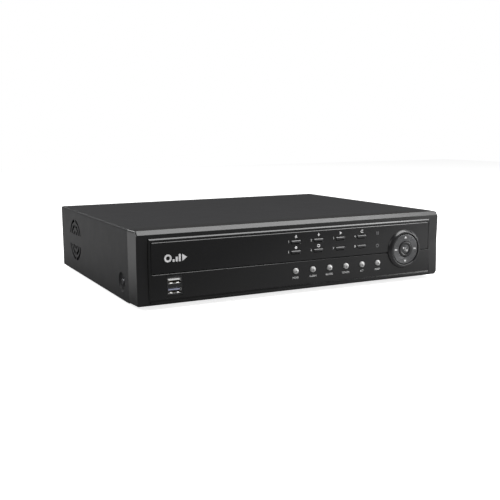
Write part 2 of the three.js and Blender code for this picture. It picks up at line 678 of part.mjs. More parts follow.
// The analogue monitor socket: body, flange outside the wall, tapered shell and two hexagonal posts.
function vgaSocket() {
  const outline = roundedRect(31, 12.6, 2, VGA.x, VGA.z);
  const flange = frontPrism(outline, REAR_WALL + SHEET + GAP, CASE_DEPTH + 0.2, 3);
  const body = block([VGA.x - 12, VGA.x + 12], [SOCKET_BACK - 10, CASE_DEPTH], [VGA.z - 5, VGA.z + 5]);
  const leg = block([VGA.x - 12, VGA.x + 12], [SOCKET_BACK - 10, SOCKET_BACK - 2], [SOCKET_BASE + 15, VGA.z]);
  const shellOutline = polygon([[-8, -4.1], [8, -4.1], [9, 4.1], [-9, 4.1]]);
  const shell = frontPrism(shellOutline, CASE_DEPTH, CASE_DEPTH + 5.6).subtract(
    frontPrism(polygon([[-7.4, -3.5], [7.4, -3.5], [8.4, 3.5], [-8.4, 3.5]]), CASE_DEPTH + 1, CASE_DEPTH + 7),
  ).translate([VGA.x, 0, VGA.z]);
  const posts = [-1, 1].map((side) => bar(2.7, VGA.x + side * 12.5, VGA.z, CASE_DEPTH, CASE_DEPTH + 4.5, 6));
  return join([flange, body, leg, shell, ...posts]);
}

function ethernetJack() {
  const { x, width, height } = ETHERNET;
  const [z0, z1] = [SOCKET_BASE, SOCKET_BASE + height];
  const face = CASE_DEPTH + 0.6;
  const can = block([x - width / 2, x + width / 2], [face - 20, face], [z0, z1]);
  const cavity = block([x - 5.9, x + 5.9], [face - 11, face + 1], [z0 + 2.4, z0 + 9.6]);
  const latch = block([x - 3, x + 3], [face - 8, face + 1], [z0 + 9, z0 + 11.6]);
  return cut(can, [cavity, latch]);
}

// The alarm and control-bus terminals: a plug block with a wire hole and a clamp screw for each pole.
function terminalBlock() {
  const { x, z, width, height } = TERMINAL;
  const end = CASE_DEPTH + 8;
  const [x0, x1] = [x - width / 2, x + width / 2];
  const body = block([x0, x1], [SOCKET_BACK - 10, end], [SOCKET_BASE + 2, z + height / 2]);
  const pitch = width / 8;
  const wires = Array.from({ length: 8 }, (_, i) => {
    const cx = x0 + pitch * (i + 0.5);
    return block([cx - 1.2, cx + 1.2], [end - 6, end + 1], [z - 3.4, z - 0.6]);
  });
  return cut(body, wires);
}

function dcJack() {
  const end = CASE_DEPTH + 1;
  const body = block([DC.x - 5, DC.x + 5], [SOCKET_BACK - 13, SOCKET_BACK], [SOCKET_BASE, DC.z + 6]);
  return body
    .add(bar(DC.radius, DC.x, DC.z, SOCKET_BACK - 1, end))
    .subtract(bar(DC.bore, DC.x, DC.z, end - 9, end + 1))
    .add(bar(1, DC.x, DC.z, end - 9.5, end - 1, 8));
}

// The power switch: a housing clipped in the wall, and a rocker that turns about x inside it.
function powerHousing() {
  const { x, z, width, height } = POWER;
  const outline = roundedRect(width, height, 1.5, x, z);
  const flange = frontPrism(outline, REAR_WALL + SHEET + GAP, CASE_DEPTH + 1.4, 3);
  const body = block([x - 6.6, x + 6.6], [SOCKET_BACK - 16, CASE_DEPTH], [z - 9.6, z + 9.6]);
  const well = block([x - 5.6, x + 5.6], [SOCKET_BACK - 9, CASE_DEPTH + 3], [z - 8.7, z + 8.7]);
  const lugs = [-3, 3].map((side) =>
    block([x + side - 0.8, x + side + 0.8], [SOCKET_BACK - 18.5, SOCKET_BACK - 15], [z - 6, z - 2]),
  );
  return join([flange.add(body).subtract(well), ...lugs]);
}

// The rocker about its pivot, in the OFF position: two faces in a shallow V on a round-backed body.
function powerRocker() {
  const v = polygon([[-4.6, -2.2], [4.2, -7.8], [6, -7.8], [4.2, 0], [6, 7.8], [4.2, 7.8], [-4.6, 2.2]]);
  return sidePrism(v, -5.2, 5.2).rotate([-POWER.tilt, 0, 0]);
}

// ---------------------------------------------------------------- assembly
const recorder = new THREE.Group();
const caseFrame = new THREE.Group();
const frontY = FRONT_PROUD - (CASE_DEPTH + FRONT_PROUD + REAR_PROUD) / 2;
caseFrame.position.set(0, frontY, FOOT_HEIGHT);
recorder.add(caseFrame);

caseFrame.add(
  piece("base_tray", baseTray(), MATERIALS.blackSteel),
  piece("top_cover", topCover(), MATERIALS.blackSteel),
  piece("front_bezel", frontBezel(), MATERIALS.bezelPlastic),
  piece("front_panel", frontPanel(), MATERIALS.panelPlastic),
  piece("window_strip", windowStrip(), MATERIALS.windowPlastic),
  piece(
    "badge",
    frontPrism(roundedRect(22.6, 8.1, 1), PANEL.face - 0.65, PANEL.face - 0.05, 3),
    MATERIALS.silver,
    [-126.5, 0, 40.4],
  ),
);

keyCentres.forEach(([x, z], i) =>
  caseFrame.add(piece(`channel_key_${i + 1}`, channelKey(), MATERIALS.keyPlastic, [x, 0, z])),
);
const LIGHTS = ["disk", "alarm", "record", "network", "remote", "power"];
lensXs.forEach((x, i) =>
  caseFrame.add(piece(`status_lens_${LIGHTS[i]}`, statusLens(), MATERIALS.lens, [x, 0, LENS.z])),
);

const navPad = new THREE.Group();
navPad.position.set(NAV.x, 0, NAV.z);
navPad.add(
  piece("nav_surround", navSurround(), MATERIALS.ringPlastic),
  piece("nav_carrier", navCarrier(), MATERIALS.blackPlastic),
  piece("nav_rocker", navRocker(), MATERIALS.rockerPlastic),
  piece("nav_enter_button", navEnterButton(), MATERIALS.ringPlastic),
);
caseFrame.add(navPad);

caseFrame.add(
  piece("front_board", frontBoard(), MATERIALS.board),
  piece("usb_shell", usbShell(), MATERIALS.nickel),
  piece("usb_tongue_upper", usbTongue(portZ[0]), MATERIALS.white),
  piece("usb_tongue_lower", usbTongue(portZ[1]), MATERIALS.blue),
  piece("main_board", mainBoard(), MATERIALS.board),
  piece("heatsink", heatsink(), MATERIALS.diskAlloy),
  piece("hard_disk", hardDisk(), MATERIALS.diskAlloy),
  piece("ribbon_cable", ribbonCable(), MATERIALS.ribbon),
  piece("disk_lead", sataCable(), MATERIALS.redCable),
  piece("fan_frame", fanFrame(), MATERIALS.blackPlastic, [0, FAN.depth, FAN.z]),
  piece("fan_rotor", fanRotor(), MATERIALS.blackPlastic, [-COVER_INSIDE + 4.8, FAN.depth, FAN.z]),
);

VIDEO.xs.forEach((x, i) =>
  caseFrame.add(piece(`video_in_pair_${i + 1}`, videoSocket(x, VIDEO.rows), MATERIALS.nickel)),
);
caseFrame.add(
  piece("video_out_socket", videoSocket(VIDEO.outX, VIDEO.rows.slice(1)), MATERIALS.nickel),
  piece("audio_block", audioBlock(), MATERIALS.blackPlastic),
  piece("vga_socket", vgaSocket(), MATERIALS.nickel),
  piece("ethernet_jack", ethernetJack(), MATERIALS.nickel),
  piece("terminal_block", terminalBlock(), MATERIALS.greenPlastic),
  piece("dc_jack", dcJack(), MATERIALS.blackPlastic),
  piece("power_switch_housing", powerHousing(), MATERIALS.blackPlastic),
  piece("power_rocker", powerRocker(), MATERIALS.blackPlastic, [POWER.x, CASE_DEPTH - 2, POWER.z]),
);

const sideScrew = screw(3.4, 2, 1.5, 5.5).rotate([0, 0, -90]);
const screwX = HALF - DIMPLE.sunk + GAP / 3;
caseFrame.add(
  piece("cover_screw_left", sideScrew, MATERIALS.zinc, [-screwX, DIMPLE.depth, DIMPLE.z]),
  piece("cover_screw_right", sideScrew.rotate([0, 0, 180]), MATERIALS.zinc, [screwX, DIMPLE.depth, DIMPLE.z]),
);
REAR_SCREWS_X.forEach((x, i) =>
  caseFrame.add(
    piece(
      `rear_screw_${["left", "middle", "right"][i]}`,
      screw(3.2, 1.9, 1.5, 5).rotate([0, 0, 180]),
      MATERIALS.zinc,
      [x, CASE_DEPTH + GAP / 3, REAR_SCREW_Z],
    ),
  ),
);
diskHoles.forEach(([x, y], i) =>
  caseFrame.add(
    piece(`disk_screw_${i + 1}`, screw(3, 1.2, 1.5, 7).rotate([90, 0, 0]), MATERIALS.zinc, [x, y, -GAP / 3]),
  ),
);
feetAt.forEach(([name, x, y]) => caseFrame.add(piece(name, foot(), MATERIALS.rubber, [x, y, 0])));

export default recorder;
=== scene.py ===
"""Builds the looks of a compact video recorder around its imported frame.

Every piece is drawn in the case frame: millimetres, x to the right seen from the front, y behind the
bezel's front edge, z above the underside of the case. Finished pieces are moved to the row frame, in metres.
"""

import logging
import math
from collections.abc import Callable, Iterable, Sequence
from dataclasses import dataclass, field
from enum import Enum

import bmesh
import bpy
from mathutils import Matrix, Vector


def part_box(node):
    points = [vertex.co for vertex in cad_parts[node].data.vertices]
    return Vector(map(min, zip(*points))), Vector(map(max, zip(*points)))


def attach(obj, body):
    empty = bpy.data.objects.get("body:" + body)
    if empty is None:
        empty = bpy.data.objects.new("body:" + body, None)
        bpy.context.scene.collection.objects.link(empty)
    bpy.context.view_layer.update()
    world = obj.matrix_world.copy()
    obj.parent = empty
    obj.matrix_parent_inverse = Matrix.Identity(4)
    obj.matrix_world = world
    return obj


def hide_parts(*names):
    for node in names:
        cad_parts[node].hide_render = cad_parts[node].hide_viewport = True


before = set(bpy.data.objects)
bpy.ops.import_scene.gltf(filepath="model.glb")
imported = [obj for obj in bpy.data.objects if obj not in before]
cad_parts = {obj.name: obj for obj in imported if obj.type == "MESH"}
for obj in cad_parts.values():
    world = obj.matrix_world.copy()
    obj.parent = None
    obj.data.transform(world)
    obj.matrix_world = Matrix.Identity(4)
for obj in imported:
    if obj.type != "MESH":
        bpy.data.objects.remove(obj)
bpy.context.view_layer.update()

LOG = logging.getLogger("recorder")
MM = 0.001
BEZEL_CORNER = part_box("front_bezel")[0]
CASE_ORIGIN = Vector((0.0, BEZEL_CORNER.y, BEZEL_CORNER.z))
TO_ROW = Matrix.Translation(CASE_ORIGIN) @ Matrix.Scale(MM, 4)
MERGE = 0.0008  # points closer than this, in mm, are one
BEFORE, BEHIND = -5.0, 5.0  # depths between which a cutter passes right through the front
CASE = "case"  # the body that everything fixed rides on

Pair = tuple[float, float]
Point = tuple[float, float, float]
Loop = list[Pair]
Colour = tuple[float, float, float]


# ------------------------------------------------------------------ node trees
class Wire:
    """One output socket of a node tree, with Python's operators standing for Math nodes."""

    def __init__(self, graph: "Graph", socket: bpy.types.NodeSocket) -> None:
        """Holds the socket and the graph that it belongs to."""
        self.graph = graph
        self.socket = socket

    def math(self, operation: str, *others: "Wire | float") -> "Wire":
        """Adds a Math node that works on this value and then on the others."""
        return self.graph.math(operation, self, *others)

    def __add__(self, other: "Wire | float") -> "Wire":
        """Sum."""
        return self.math("ADD", other)

    def __sub__(self, other: "Wire | float") -> "Wire":
        """Difference."""
        return self.math("SUBTRACT", other)

    def __rsub__(self, other: float) -> "Wire":
        """Difference, from a number."""
        return self.graph.math("SUBTRACT", other, self)

    def __mul__(self, other: "Wire | float") -> "Wire":
        """Product."""
        return self.math("MULTIPLY", other)

    def __truediv__(self, other: "Wire | float") -> "Wire":
        """Quotient."""
        return self.math("DIVIDE", other)

    __radd__, __rmul__ = __add__, __mul__

    def ramped(self, low: float, high: float) -> "Wire":
        """A smooth step of this value: 0 at low, 1 at high, and no further either way."""
        return self.graph.add(
            "ShaderNodeMapRange",
            {"interpolation_type": "SMOOTHSTEP", "clamp": True},
            {"Value": self, "From Min": low, "From Max": high},
        )


class Graph:
    """Adds nodes to a shader or geometry node tree."""

    def __init__(self, tree: bpy.types.NodeTree) -> None:
        """Holds the tree."""
        self.tree = tree

    def add(
        self,
        kind: str,
        settings: dict[str, object] | None = None,
        inputs: dict[str | int, object] | None = None,
        output: str | int = 0,
    ) -> Wire:
        """Adds one node.

        Args:
            kind: the node's type.
            settings: its properties, set before its sockets.
            inputs: a value or a Wire for each socket, by name or by number.
            output: which output is returned.

        Returns:
            The chosen output.
        """
        node = self.tree.nodes.new(kind)
        for name, value in (settings or {}).items():
            setattr(node, name, value)
        for key, value in (inputs or {}).items():
            if isinstance(value, Wire):
                self.tree.links.new(value.socket, node.inputs[key])
            else:
                node.inputs[key].default_value = value
        return Wire(self, node.outputs[output]) if node.outputs else Wire(self, node.inputs[0])

    def math(self, operation: str, *operands: Wire | float) -> Wire:
        """Adds a Math node that works on the operands in order."""
        return self.add("ShaderNodeMath", {"operation": operation}, dict(enumerate(operands)))

    def mix(self, factor: Wire | float, first: "Wire | Colour", second: "Wire | Colour") -> Wire:
        """A colour part of the way from the first to the second."""
        ends = [c if isinstance(c, Wire) else (*c, 1.0) for c in (first, second)]
        return self.add("ShaderNodeMix", {"data_type": "RGBA"}, {0: factor, 6: ends[0], 7: ends[1]}, 2)

    def scaled(self, colour: "Wire | Colour", factor: Wire) -> Wire:
        """A colour made lighter or darker by a factor."""
        return self.add("ShaderNodeVectorMath", {"operation": "SCALE"}, {0: colour, "Scale": factor})

    def noise(self, vector: Wire, cells: float, detail: float = 2.0, roughness: float = 0.5) -> Wire:
        """Noise about 0.5, with the given number of cells to the metre."""
        return self.add(
            "ShaderNodeTexNoise",
            {},
            {"Vector": vector, "Scale": cells, "Detail": detail, "Roughness": roughness},
        )

    def axis(self, vector: Wire, name: str) -> Wire:
        """One component of a vector: X, Y or Z."""
        return self.add("ShaderNodeSeparateXYZ", {}, {"Vector": vector}, name)


# ------------------------------------------------------------------ finishes
@dataclass(frozen=True)
class Finish:
    """A moulded or painted surface: a colour with slow and fine variation, a fine grain, and worn edges.

    Feature sizes are in cells to the metre or in metres, as the material reads the piece's own coordinates.
    """

    name: str
    slot: str
    colour: Colour
    roughness: float = 0.4
    metallic: float = 0.0
    specular: float = 0.5
    coat: float = 0.0
    coat_roughness: float = 0.06
    mottle: float = 0.06
    rough_spread: float = 0.08
    grain_cells: float = 1800.0
    grain_depth: float = 0.00003
    grain_strength: float = 0.3
    worn_colour: Colour | None = None
    worn_width: float = 0.0004
    worn_amount: float = 0.5

    def material(self) -> bpy.types.Material:
        """The finish's material, made once."""
        known = bpy.data.materials.get(self.name)
        if known is not None:
            return known
        made = bpy.data.materials.new(self.name)
        made.use_nodes = True
        made.diffuse_color = (*self.colour, 1.0)
        made.node_tree.nodes.clear()
        graph = Graph(made.node_tree)
        place = graph.add("ShaderNodeTexCoord", output="Object")
        graph.add("ShaderNodeOutputMaterial", {}, {"Surface": self._surface(graph, place)})
        return made

    def _surface(self, graph: Graph, place: Wire) -> Wire:
        """The surface shader.

        Args:
            graph: the material's tree.
            place: the piece's own coordinates.

        Returns:
            The shader.
        """
        colour = self._tint(graph, place)
        rough = self._matt(graph, place)
        if self.worn_colour is not None:
            edge = self._edge(graph) * (graph.noise(place, 260.0, 4.0, 0.6)).ramped(0.35, 0.65)
            colour = graph.mix(edge * self.worn_amount, colour, self.worn_colour)
            rough = rough - edge * (0.3 * self.roughness)
        bump = graph.add(
            "ShaderNodeBump",
            {},
            {"Strength": self.grain_strength, "Distance": self.grain_depth, "Height": self._height(graph, place)},
        )
        return graph.add(
            "ShaderNodeBsdfPrincipled",
            {},
            {
                "Base Color": colour,
                "Roughness": rough,
                "Metallic": self.metallic,
                "Specular IOR Level": self.specular,
                "Coat Weight": self.coat,
                "Coat Roughness": self.coat_roughness,
                "Normal": bump,
            },
        )

    def _tint(self, graph: Graph, place: Wire) -> Wire:
        """The base colour over the surface."""
        slow = graph.noise(place, 18.0, 3.0)
        fine = graph.noise(place, 1400.0, 2.0)
        return graph.scaled(self.colour, (slow - 0.5) * (2.0 * self.mottle) + (fine - 0.5) * self.mottle + 1.0)

    def _matt(self, graph: Graph, place: Wire) -> Wire:
        """The roughness over the surface."""
        return (graph.noise(place, 55.0, 4.0, 0.65) - 0.5) * (2.0 * self.rough_spread) + self.roughness

    def _height(self, graph: Graph, place: Wire) -> Wire:
        """The height of the grain, from 0 to 1."""
        return graph.noise(place, self.grain_cells, 3.0, 0.6)

    def _edge(self, graph: Graph) -> Wire:
        """1 at the surface's edges and 0 on its flats."""
        rounded = graph.add("ShaderNodeBevel", {"samples": 4}, {"Radius": self.worn_width})
        normal = graph.add("ShaderNodeNewGeometry", output="Normal")
        turn = graph.add("ShaderNodeVectorMath", {"operation": "DOT_PRODUCT"}, {0: rounded, 1: normal}, "Value")
        return (1.0 - turn).ramped(0.015, 0.16)


@dataclass(frozen=True)
class PowderCoat(Finish):
    """Baked powder on steel: an orange-peel skin with a fine sparkle of lighter grains."""

    speck: float = 0.35

    def _tint(self, graph: Graph, place: Wire) -> Wire:
        """The base colour, with lighter grains in it."""
        plain = super()._tint(graph, place)
        grains = graph.noise(place, 3400.0, 1.0).ramped(0.62, 0.74)
        return graph.mix(grains * self.speck, plain, tuple(min(1.0, 2.2 * c) for c in self.colour))

    def _height(self, graph: Graph, place: Wire) -> Wire:
        """Orange peel under a finer grain."""
        peel = graph.add("ShaderNodeTexVoronoi", {"feature": "SMOOTH_F1"}, {"Vector": place, "Scale": 950.0})
        return peel * 0.7 + graph.noise(place, self.grain_cells, 3.0, 0.6) * 0.5


@dataclass(frozen=True)
class Polished(Finish):
    """A polished moulding: nearly flat, with faint handling marks in its gloss."""

    def _matt(self, graph: Graph, place: Wire) -> Wire:
        """Gloss with a few soft smears."""
        smear = graph.noise(place, 14.0, 5.0, 0.6).ramped(0.5, 0.78)
        return smear * self.rough_spread + graph.noise(place, 700.0, 2.0) * 0.02 + self.roughness

    def _height(self, graph: Graph, place: Wire) -> Wire:
        """The slow ripple of a moulded face."""
        return graph.noise(place, 60.0, 2.0) * 0.6 + graph.noise(place, self.grain_cells, 2.0) * 0.1


@dataclass(frozen=True)
class Spun(Finish):
    """A face turned on a lathe about the depth axis: fine rings about a centre, in metres."""

    centre: Pair = (0.0, 0.0)
    ring_pitch: float = 0.00022

    def _radius(self, graph: Graph, place: Wire) -> Wire:
        """Distance from the axis."""
        moved = graph.add(
            "ShaderNodeMapping", {}, {"Vector": place, "Location": (-self.centre[0], 0.0, -self.centre[1])}
        )
        flat = graph.add("ShaderNodeVectorMath", {"operation": "MULTIPLY"}, {0: moved, 1: (1.0, 0.0, 1.0)})
        return graph.add("ShaderNodeVectorMath", {"operation": "LENGTH"}, {0: flat}, "Value")

    def _height(self, graph: Graph, place: Wire) -> Wire:
        """Turned rings of uneven depth."""
        radius = self._radius(graph, place)
        wave = (radius * (2.0 * math.pi / self.ring_pitch)).math("SINE")
        uneven = graph.add("ShaderNodeTexNoise", {"noise_dimensions": "1D"}, {"W": radius, "Scale": 3000.0})
        return wave * 0.25 + uneven


@dataclass(frozen=True)
class Drawn(Finish):
    """Plated or bare metal with the fine lines of drawing and handling."""

    stretch: Point = (1.0, 0.06, 1.0)

    def _height(self, graph: Graph, place: Wire) -> Wire:
        """Lines along the depth, under small scratches."""
        lengthened = graph.add("ShaderNodeVectorMath", {"operation": "MULTIPLY"}, {0: place, 1: self.stretch})
        return graph.noise(lengthened, 2600.0, 3.0, 0.7)

    def _matt(self, graph: Graph, place: Wire) -> Wire:
        """Gloss broken by dull patches."""
        return graph.noise(place, 320.0, 4.0, 0.7).ramped(0.35, 0.8) * self.rough_spread + self.roughness


@dataclass(frozen=True)
class Laminate(Finish):
    """Circuit laminate: solder mask over copper tracks, with tinned pads."""

    track_cells: float = 420.0
    copper: Colour = (0.05, 0.16, 0.05)
    tin: Colour = (0.55, 0.53, 0.48)

    def _tracks(self, graph: Graph, place: Wire) -> Wire:
        """1 on a track and 0 between."""
        cells = graph.add(
            "ShaderNodeTexVoronoi",
            {"distance": "CHEBYCHEV", "feature": "F1"},
            {"Vector": place, "Scale": self.track_cells},
        )
        return (cells * 9.0).math("FRACT").ramped(0.42, 0.5)

    def _tint(self, graph: Graph, place: Wire) -> Wire:
        """Mask, tracks and pads."""
        pads = graph.add("ShaderNodeTexVoronoi", {}, {"Vector": place, "Scale": 360.0, "Randomness": 0.55})
        masked = graph.mix(self._tracks(graph, place), super()._tint(graph, place), self.copper)
        return graph.mix(1.0 - pads.ramped(0.16, 0.2), masked, self.tin)

    def _height(self, graph: Graph, place: Wire) -> Wire:
        """Tracks stand up under the mask."""
        return self._tracks(graph, place)


@dataclass(frozen=True)
class Milky(Finish):
    """A diffusing lens with its lamp showing faintly through the crown, by the piece's own attribute."""

    core: Colour = (0.05, 0.05, 0.055)

    def _tint(self, graph: Graph, place: Wire) -> Wire:
        """Pale round the lamp, dark over it."""
        crown = graph.add("ShaderNodeAttribute", {"attribute_name": "crown"}, output="Fac")
        return graph.mix(crown.ramped(0.05, 0.75) * 0.85, super()._tint(graph, place), self.core)


class Shop:
    """Every finish on the recorder."""

    STEEL = PowderCoat(
        "powder_coat_charcoal", "black_steel", (0.026, 0.026, 0.027), 0.52, specular=0.17, mottle=0.05,
        rough_spread=0.05, worn_colour=(0.10, 0.10, 0.103), worn_width=0.0007, worn_amount=0.35,
    )
    BEZEL = Finish(
        "graphite_moulding", "bezel_plastic", (0.010, 0.010, 0.0105), 0.3, specular=0.46, mottle=0.04,
        rough_spread=0.05, grain_cells=3200.0, grain_strength=0.12, worn_colour=(0.075, 0.075, 0.078),
    )
    PANEL = Polished(
        "gloss_black_moulding", "panel_plastic", (0.0058, 0.0058, 0.0061), 0.2, specular=0.5, mottle=0.05,
        rough_spread=0.07, grain_strength=0.06, worn_colour=(0.03, 0.03, 0.031), worn_width=0.0003,
    )
    WINDOW = Polished(
        "tinted_strip", "window_plastic", (0.0046, 0.0046, 0.0050), 0.18, specular=0.5, mottle=0.04,
        rough_spread=0.06, grain_strength=0.05,
    )
    KEY = Polished(
        "key_black", "key_plastic", (0.012, 0.012, 0.013), 0.3, specular=0.6, rough_spread=0.1,
        grain_strength=0.08, worn_colour=(0.07, 0.07, 0.072), worn_width=0.0003, worn_amount=0.6,
    )
    RING = Polished(
        "ring_black", "ring_plastic", (0.016, 0.016, 0.017), 0.22, specular=0.5, rough_spread=0.08,
        grain_strength=0.05,
    )
    LENS = Milky("milky_lens", "lens", (0.52, 0.52, 0.515), 0.22, coat=0.5, mottle=0.02, grain_strength=0.04)
    SILVER = Drawn("bright_badge", "silver", (0.92, 0.92, 0.93), 0.3, metallic=0.25, rough_spread=0.12, mottle=0.03)
    NICKEL = Drawn("nickel_plate", "nickel", (0.58, 0.57, 0.54), 0.3, metallic=1.0, rough_spread=0.22, mottle=0.05)
    TIN = Drawn("tinned_spring", "nickel", (0.55, 0.55, 0.54), 0.34, metallic=0.35, rough_spread=0.15, mottle=0.05)
    GOLD = Drawn("gold_flash", "nickel", (0.80, 0.55, 0.20), 0.25, metallic=1.0, rough_spread=0.15, mottle=0.05)
    WHITE = Finish("white_insulator", "white_plastic", (0.92, 0.92, 0.91), 0.38, mottle=0.03, grain_strength=0.1)
    BLUE = Finish("blue_insulator", "blue_plastic", (0.40, 0.42, 0.56), 0.38, mottle=0.04, grain_strength=0.1)
    BLACK = Finish(
        "black_moulding", "black_plastic", (0.016, 0.016, 0.017), 0.5, specular=0.4, grain_cells=2600.0,
        worn_colour=(0.05, 0.05, 0.052), worn_width=0.0003,
    )
    GREEN = Finish("green_terminal", "green_plastic", (0.02, 0.25, 0.08), 0.45, grain_strength=0.2)
    RED = Finish("red_lead", "red_cable", (0.33, 0.015, 0.015), 0.42, grain_strength=0.15)
    RED_INSERT = Finish("red_insulator", "black_plastic", (0.42, 0.02, 0.02), 0.4, grain_strength=0.1)
    RIBBON = Finish("ribbon_grey", "ribbon", (0.34, 0.35, 0.37), 0.5, grain_strength=0.2)
    BOARD = Laminate("circuit_laminate", "board", (0.012, 0.075, 0.03), 0.32, grain_strength=0.5)
    ALLOY = Drawn("cast_alloy", "disk_alloy", (0.55, 0.56, 0.57), 0.36, metallic=1.0, rough_spread=0.2)
    ZINC = Drawn("black_zinc", "zinc", (0.10, 0.10, 0.105), 0.34, metallic=1.0, rough_spread=0.2, mottle=0.1)
    RUBBER = Finish("foot_rubber", "rubber", (0.016, 0.016, 0.016), 0.85, specular=0.3, grain_strength=0.6)
    INK = Finish("white_print", "silver", (0.80, 0.80, 0.80), 0.5, mottle=0.05, grain_strength=0.1)
    DIM_INK = Finish("grey_print", "silver", (0.16, 0.16, 0.165), 0.5, mottle=0.05, grain_strength=0.1)
    CAP = Drawn("satin_cap", "ring_plastic", (0.055, 0.056, 0.058), 0.33, metallic=0.4, rough_spread=0.08, mottle=0.03)
    GREEN_LAMP = Milky("green_lamp", "lens", (0.10, 0.42, 0.12), 0.2, coat=0.4, mottle=0.02)
    AMBER_LAMP = Milky("amber_lamp", "lens", (0.60, 0.32, 0.04), 0.2, coat=0.4, mottle=0.02)
    PALE_INK = Finish("rear_print", "black_steel", (0.55, 0.55, 0.55), 0.55, mottle=0.05, grain_strength=0.1)

    @staticmethod
    def disc(centre: Pair) -> Finish:
        """The turned face of the navigation disc, about its centre in the case frame."""
        place = TO_ROW @ Vector((centre[0], 0.0, centre[1]))
        return Spun(
            "spun_disc", "rocker_plastic", (0.095, 0.096, 0.098), 0.28, metallic=0.65, mottle=0.03, rough_spread=0.05,
            grain_strength=0.9, grain_depth=0.00003, centre=(place.x, place.z),
        )


# ------------------------------------------------------------------ solids
class Axis(Enum):
    """The axis that a section is drawn across; its own two coordinates follow in x, y, z order."""

    X = "X"
    Y = "Y"
    Z = "Z"

    def point(self, first: float, second: float, along: float) -> Point:
        """A point of a section, at a place along the axis."""
        if self is Axis.X:
            return (along, first, second)
        if self is Axis.Y:
            return (first, along, second)
        return (first, second, along)


def rounded_loop(low: Pair, high: Pair, radius: float, steps: int = 4) -> Loop:
    """A rectangle with round corners.

    Args:
        low: its lowest corner.
        high: its highest corner.
        radius: of its corners.
        steps: facets in each corner.

    Returns:
        Its points, anticlockwise from the lowest on the right.
    """
    corners = (
        (high[0] - radius, low[1] + radius, -90.0),
        (high[0] - radius, high[1] - radius, 0.0),
        (low[0] + radius, high[1] - radius, 90.0),
        (low[0] + radius, low[1] + radius, 180.0),
    )
    loop: Loop = []
    for x, z, start in corners:
        for step in range(steps + 1):
            angle = math.radians(start + 90.0 * step / steps)
            loop.append((x + radius * math.cos(angle), z + radius * math.sin(angle)))
    return loop


def window_loop(x: float, z: float, width: float, height: float, radius: float, steps: int = 4) -> Loop:
    """A rectangle with round corners about a point."""
    return rounded_loop((x - width / 2.0, z - height / 2.0), (x + width / 2.0, z + height / 2.0), radius, steps)


def node_loop(node: str, margin: float, radius: float, steps: int = 4) -> Loop:
    """A frame node's outline seen from the front, grown by a margin, with round corners."""
    low, high = case_box(node)
    return rounded_loop((low.x - margin, low.z - margin), (high.x + margin, high.z + margin), radius, steps)


def round_loop(radius: float, centre: Pair = (0.0, 0.0), sides: int = 64) -> Loop:
    """A circle's points."""
    turns = [2.0 * math.pi * i / sides for i in range(sides)]
    return [(centre[0] + radius * math.cos(t), centre[1] + radius * math.sin(t)) for t in turns]


def slot_loop(width: float, height: float, centre: Pair = (0.0, 0.0)) -> Loop:
    """A slot with round ends, or a plain rounded bar."""
    return window_loop(*centre, width, height, min(width, height) / 2.0 - 0.001, 8)


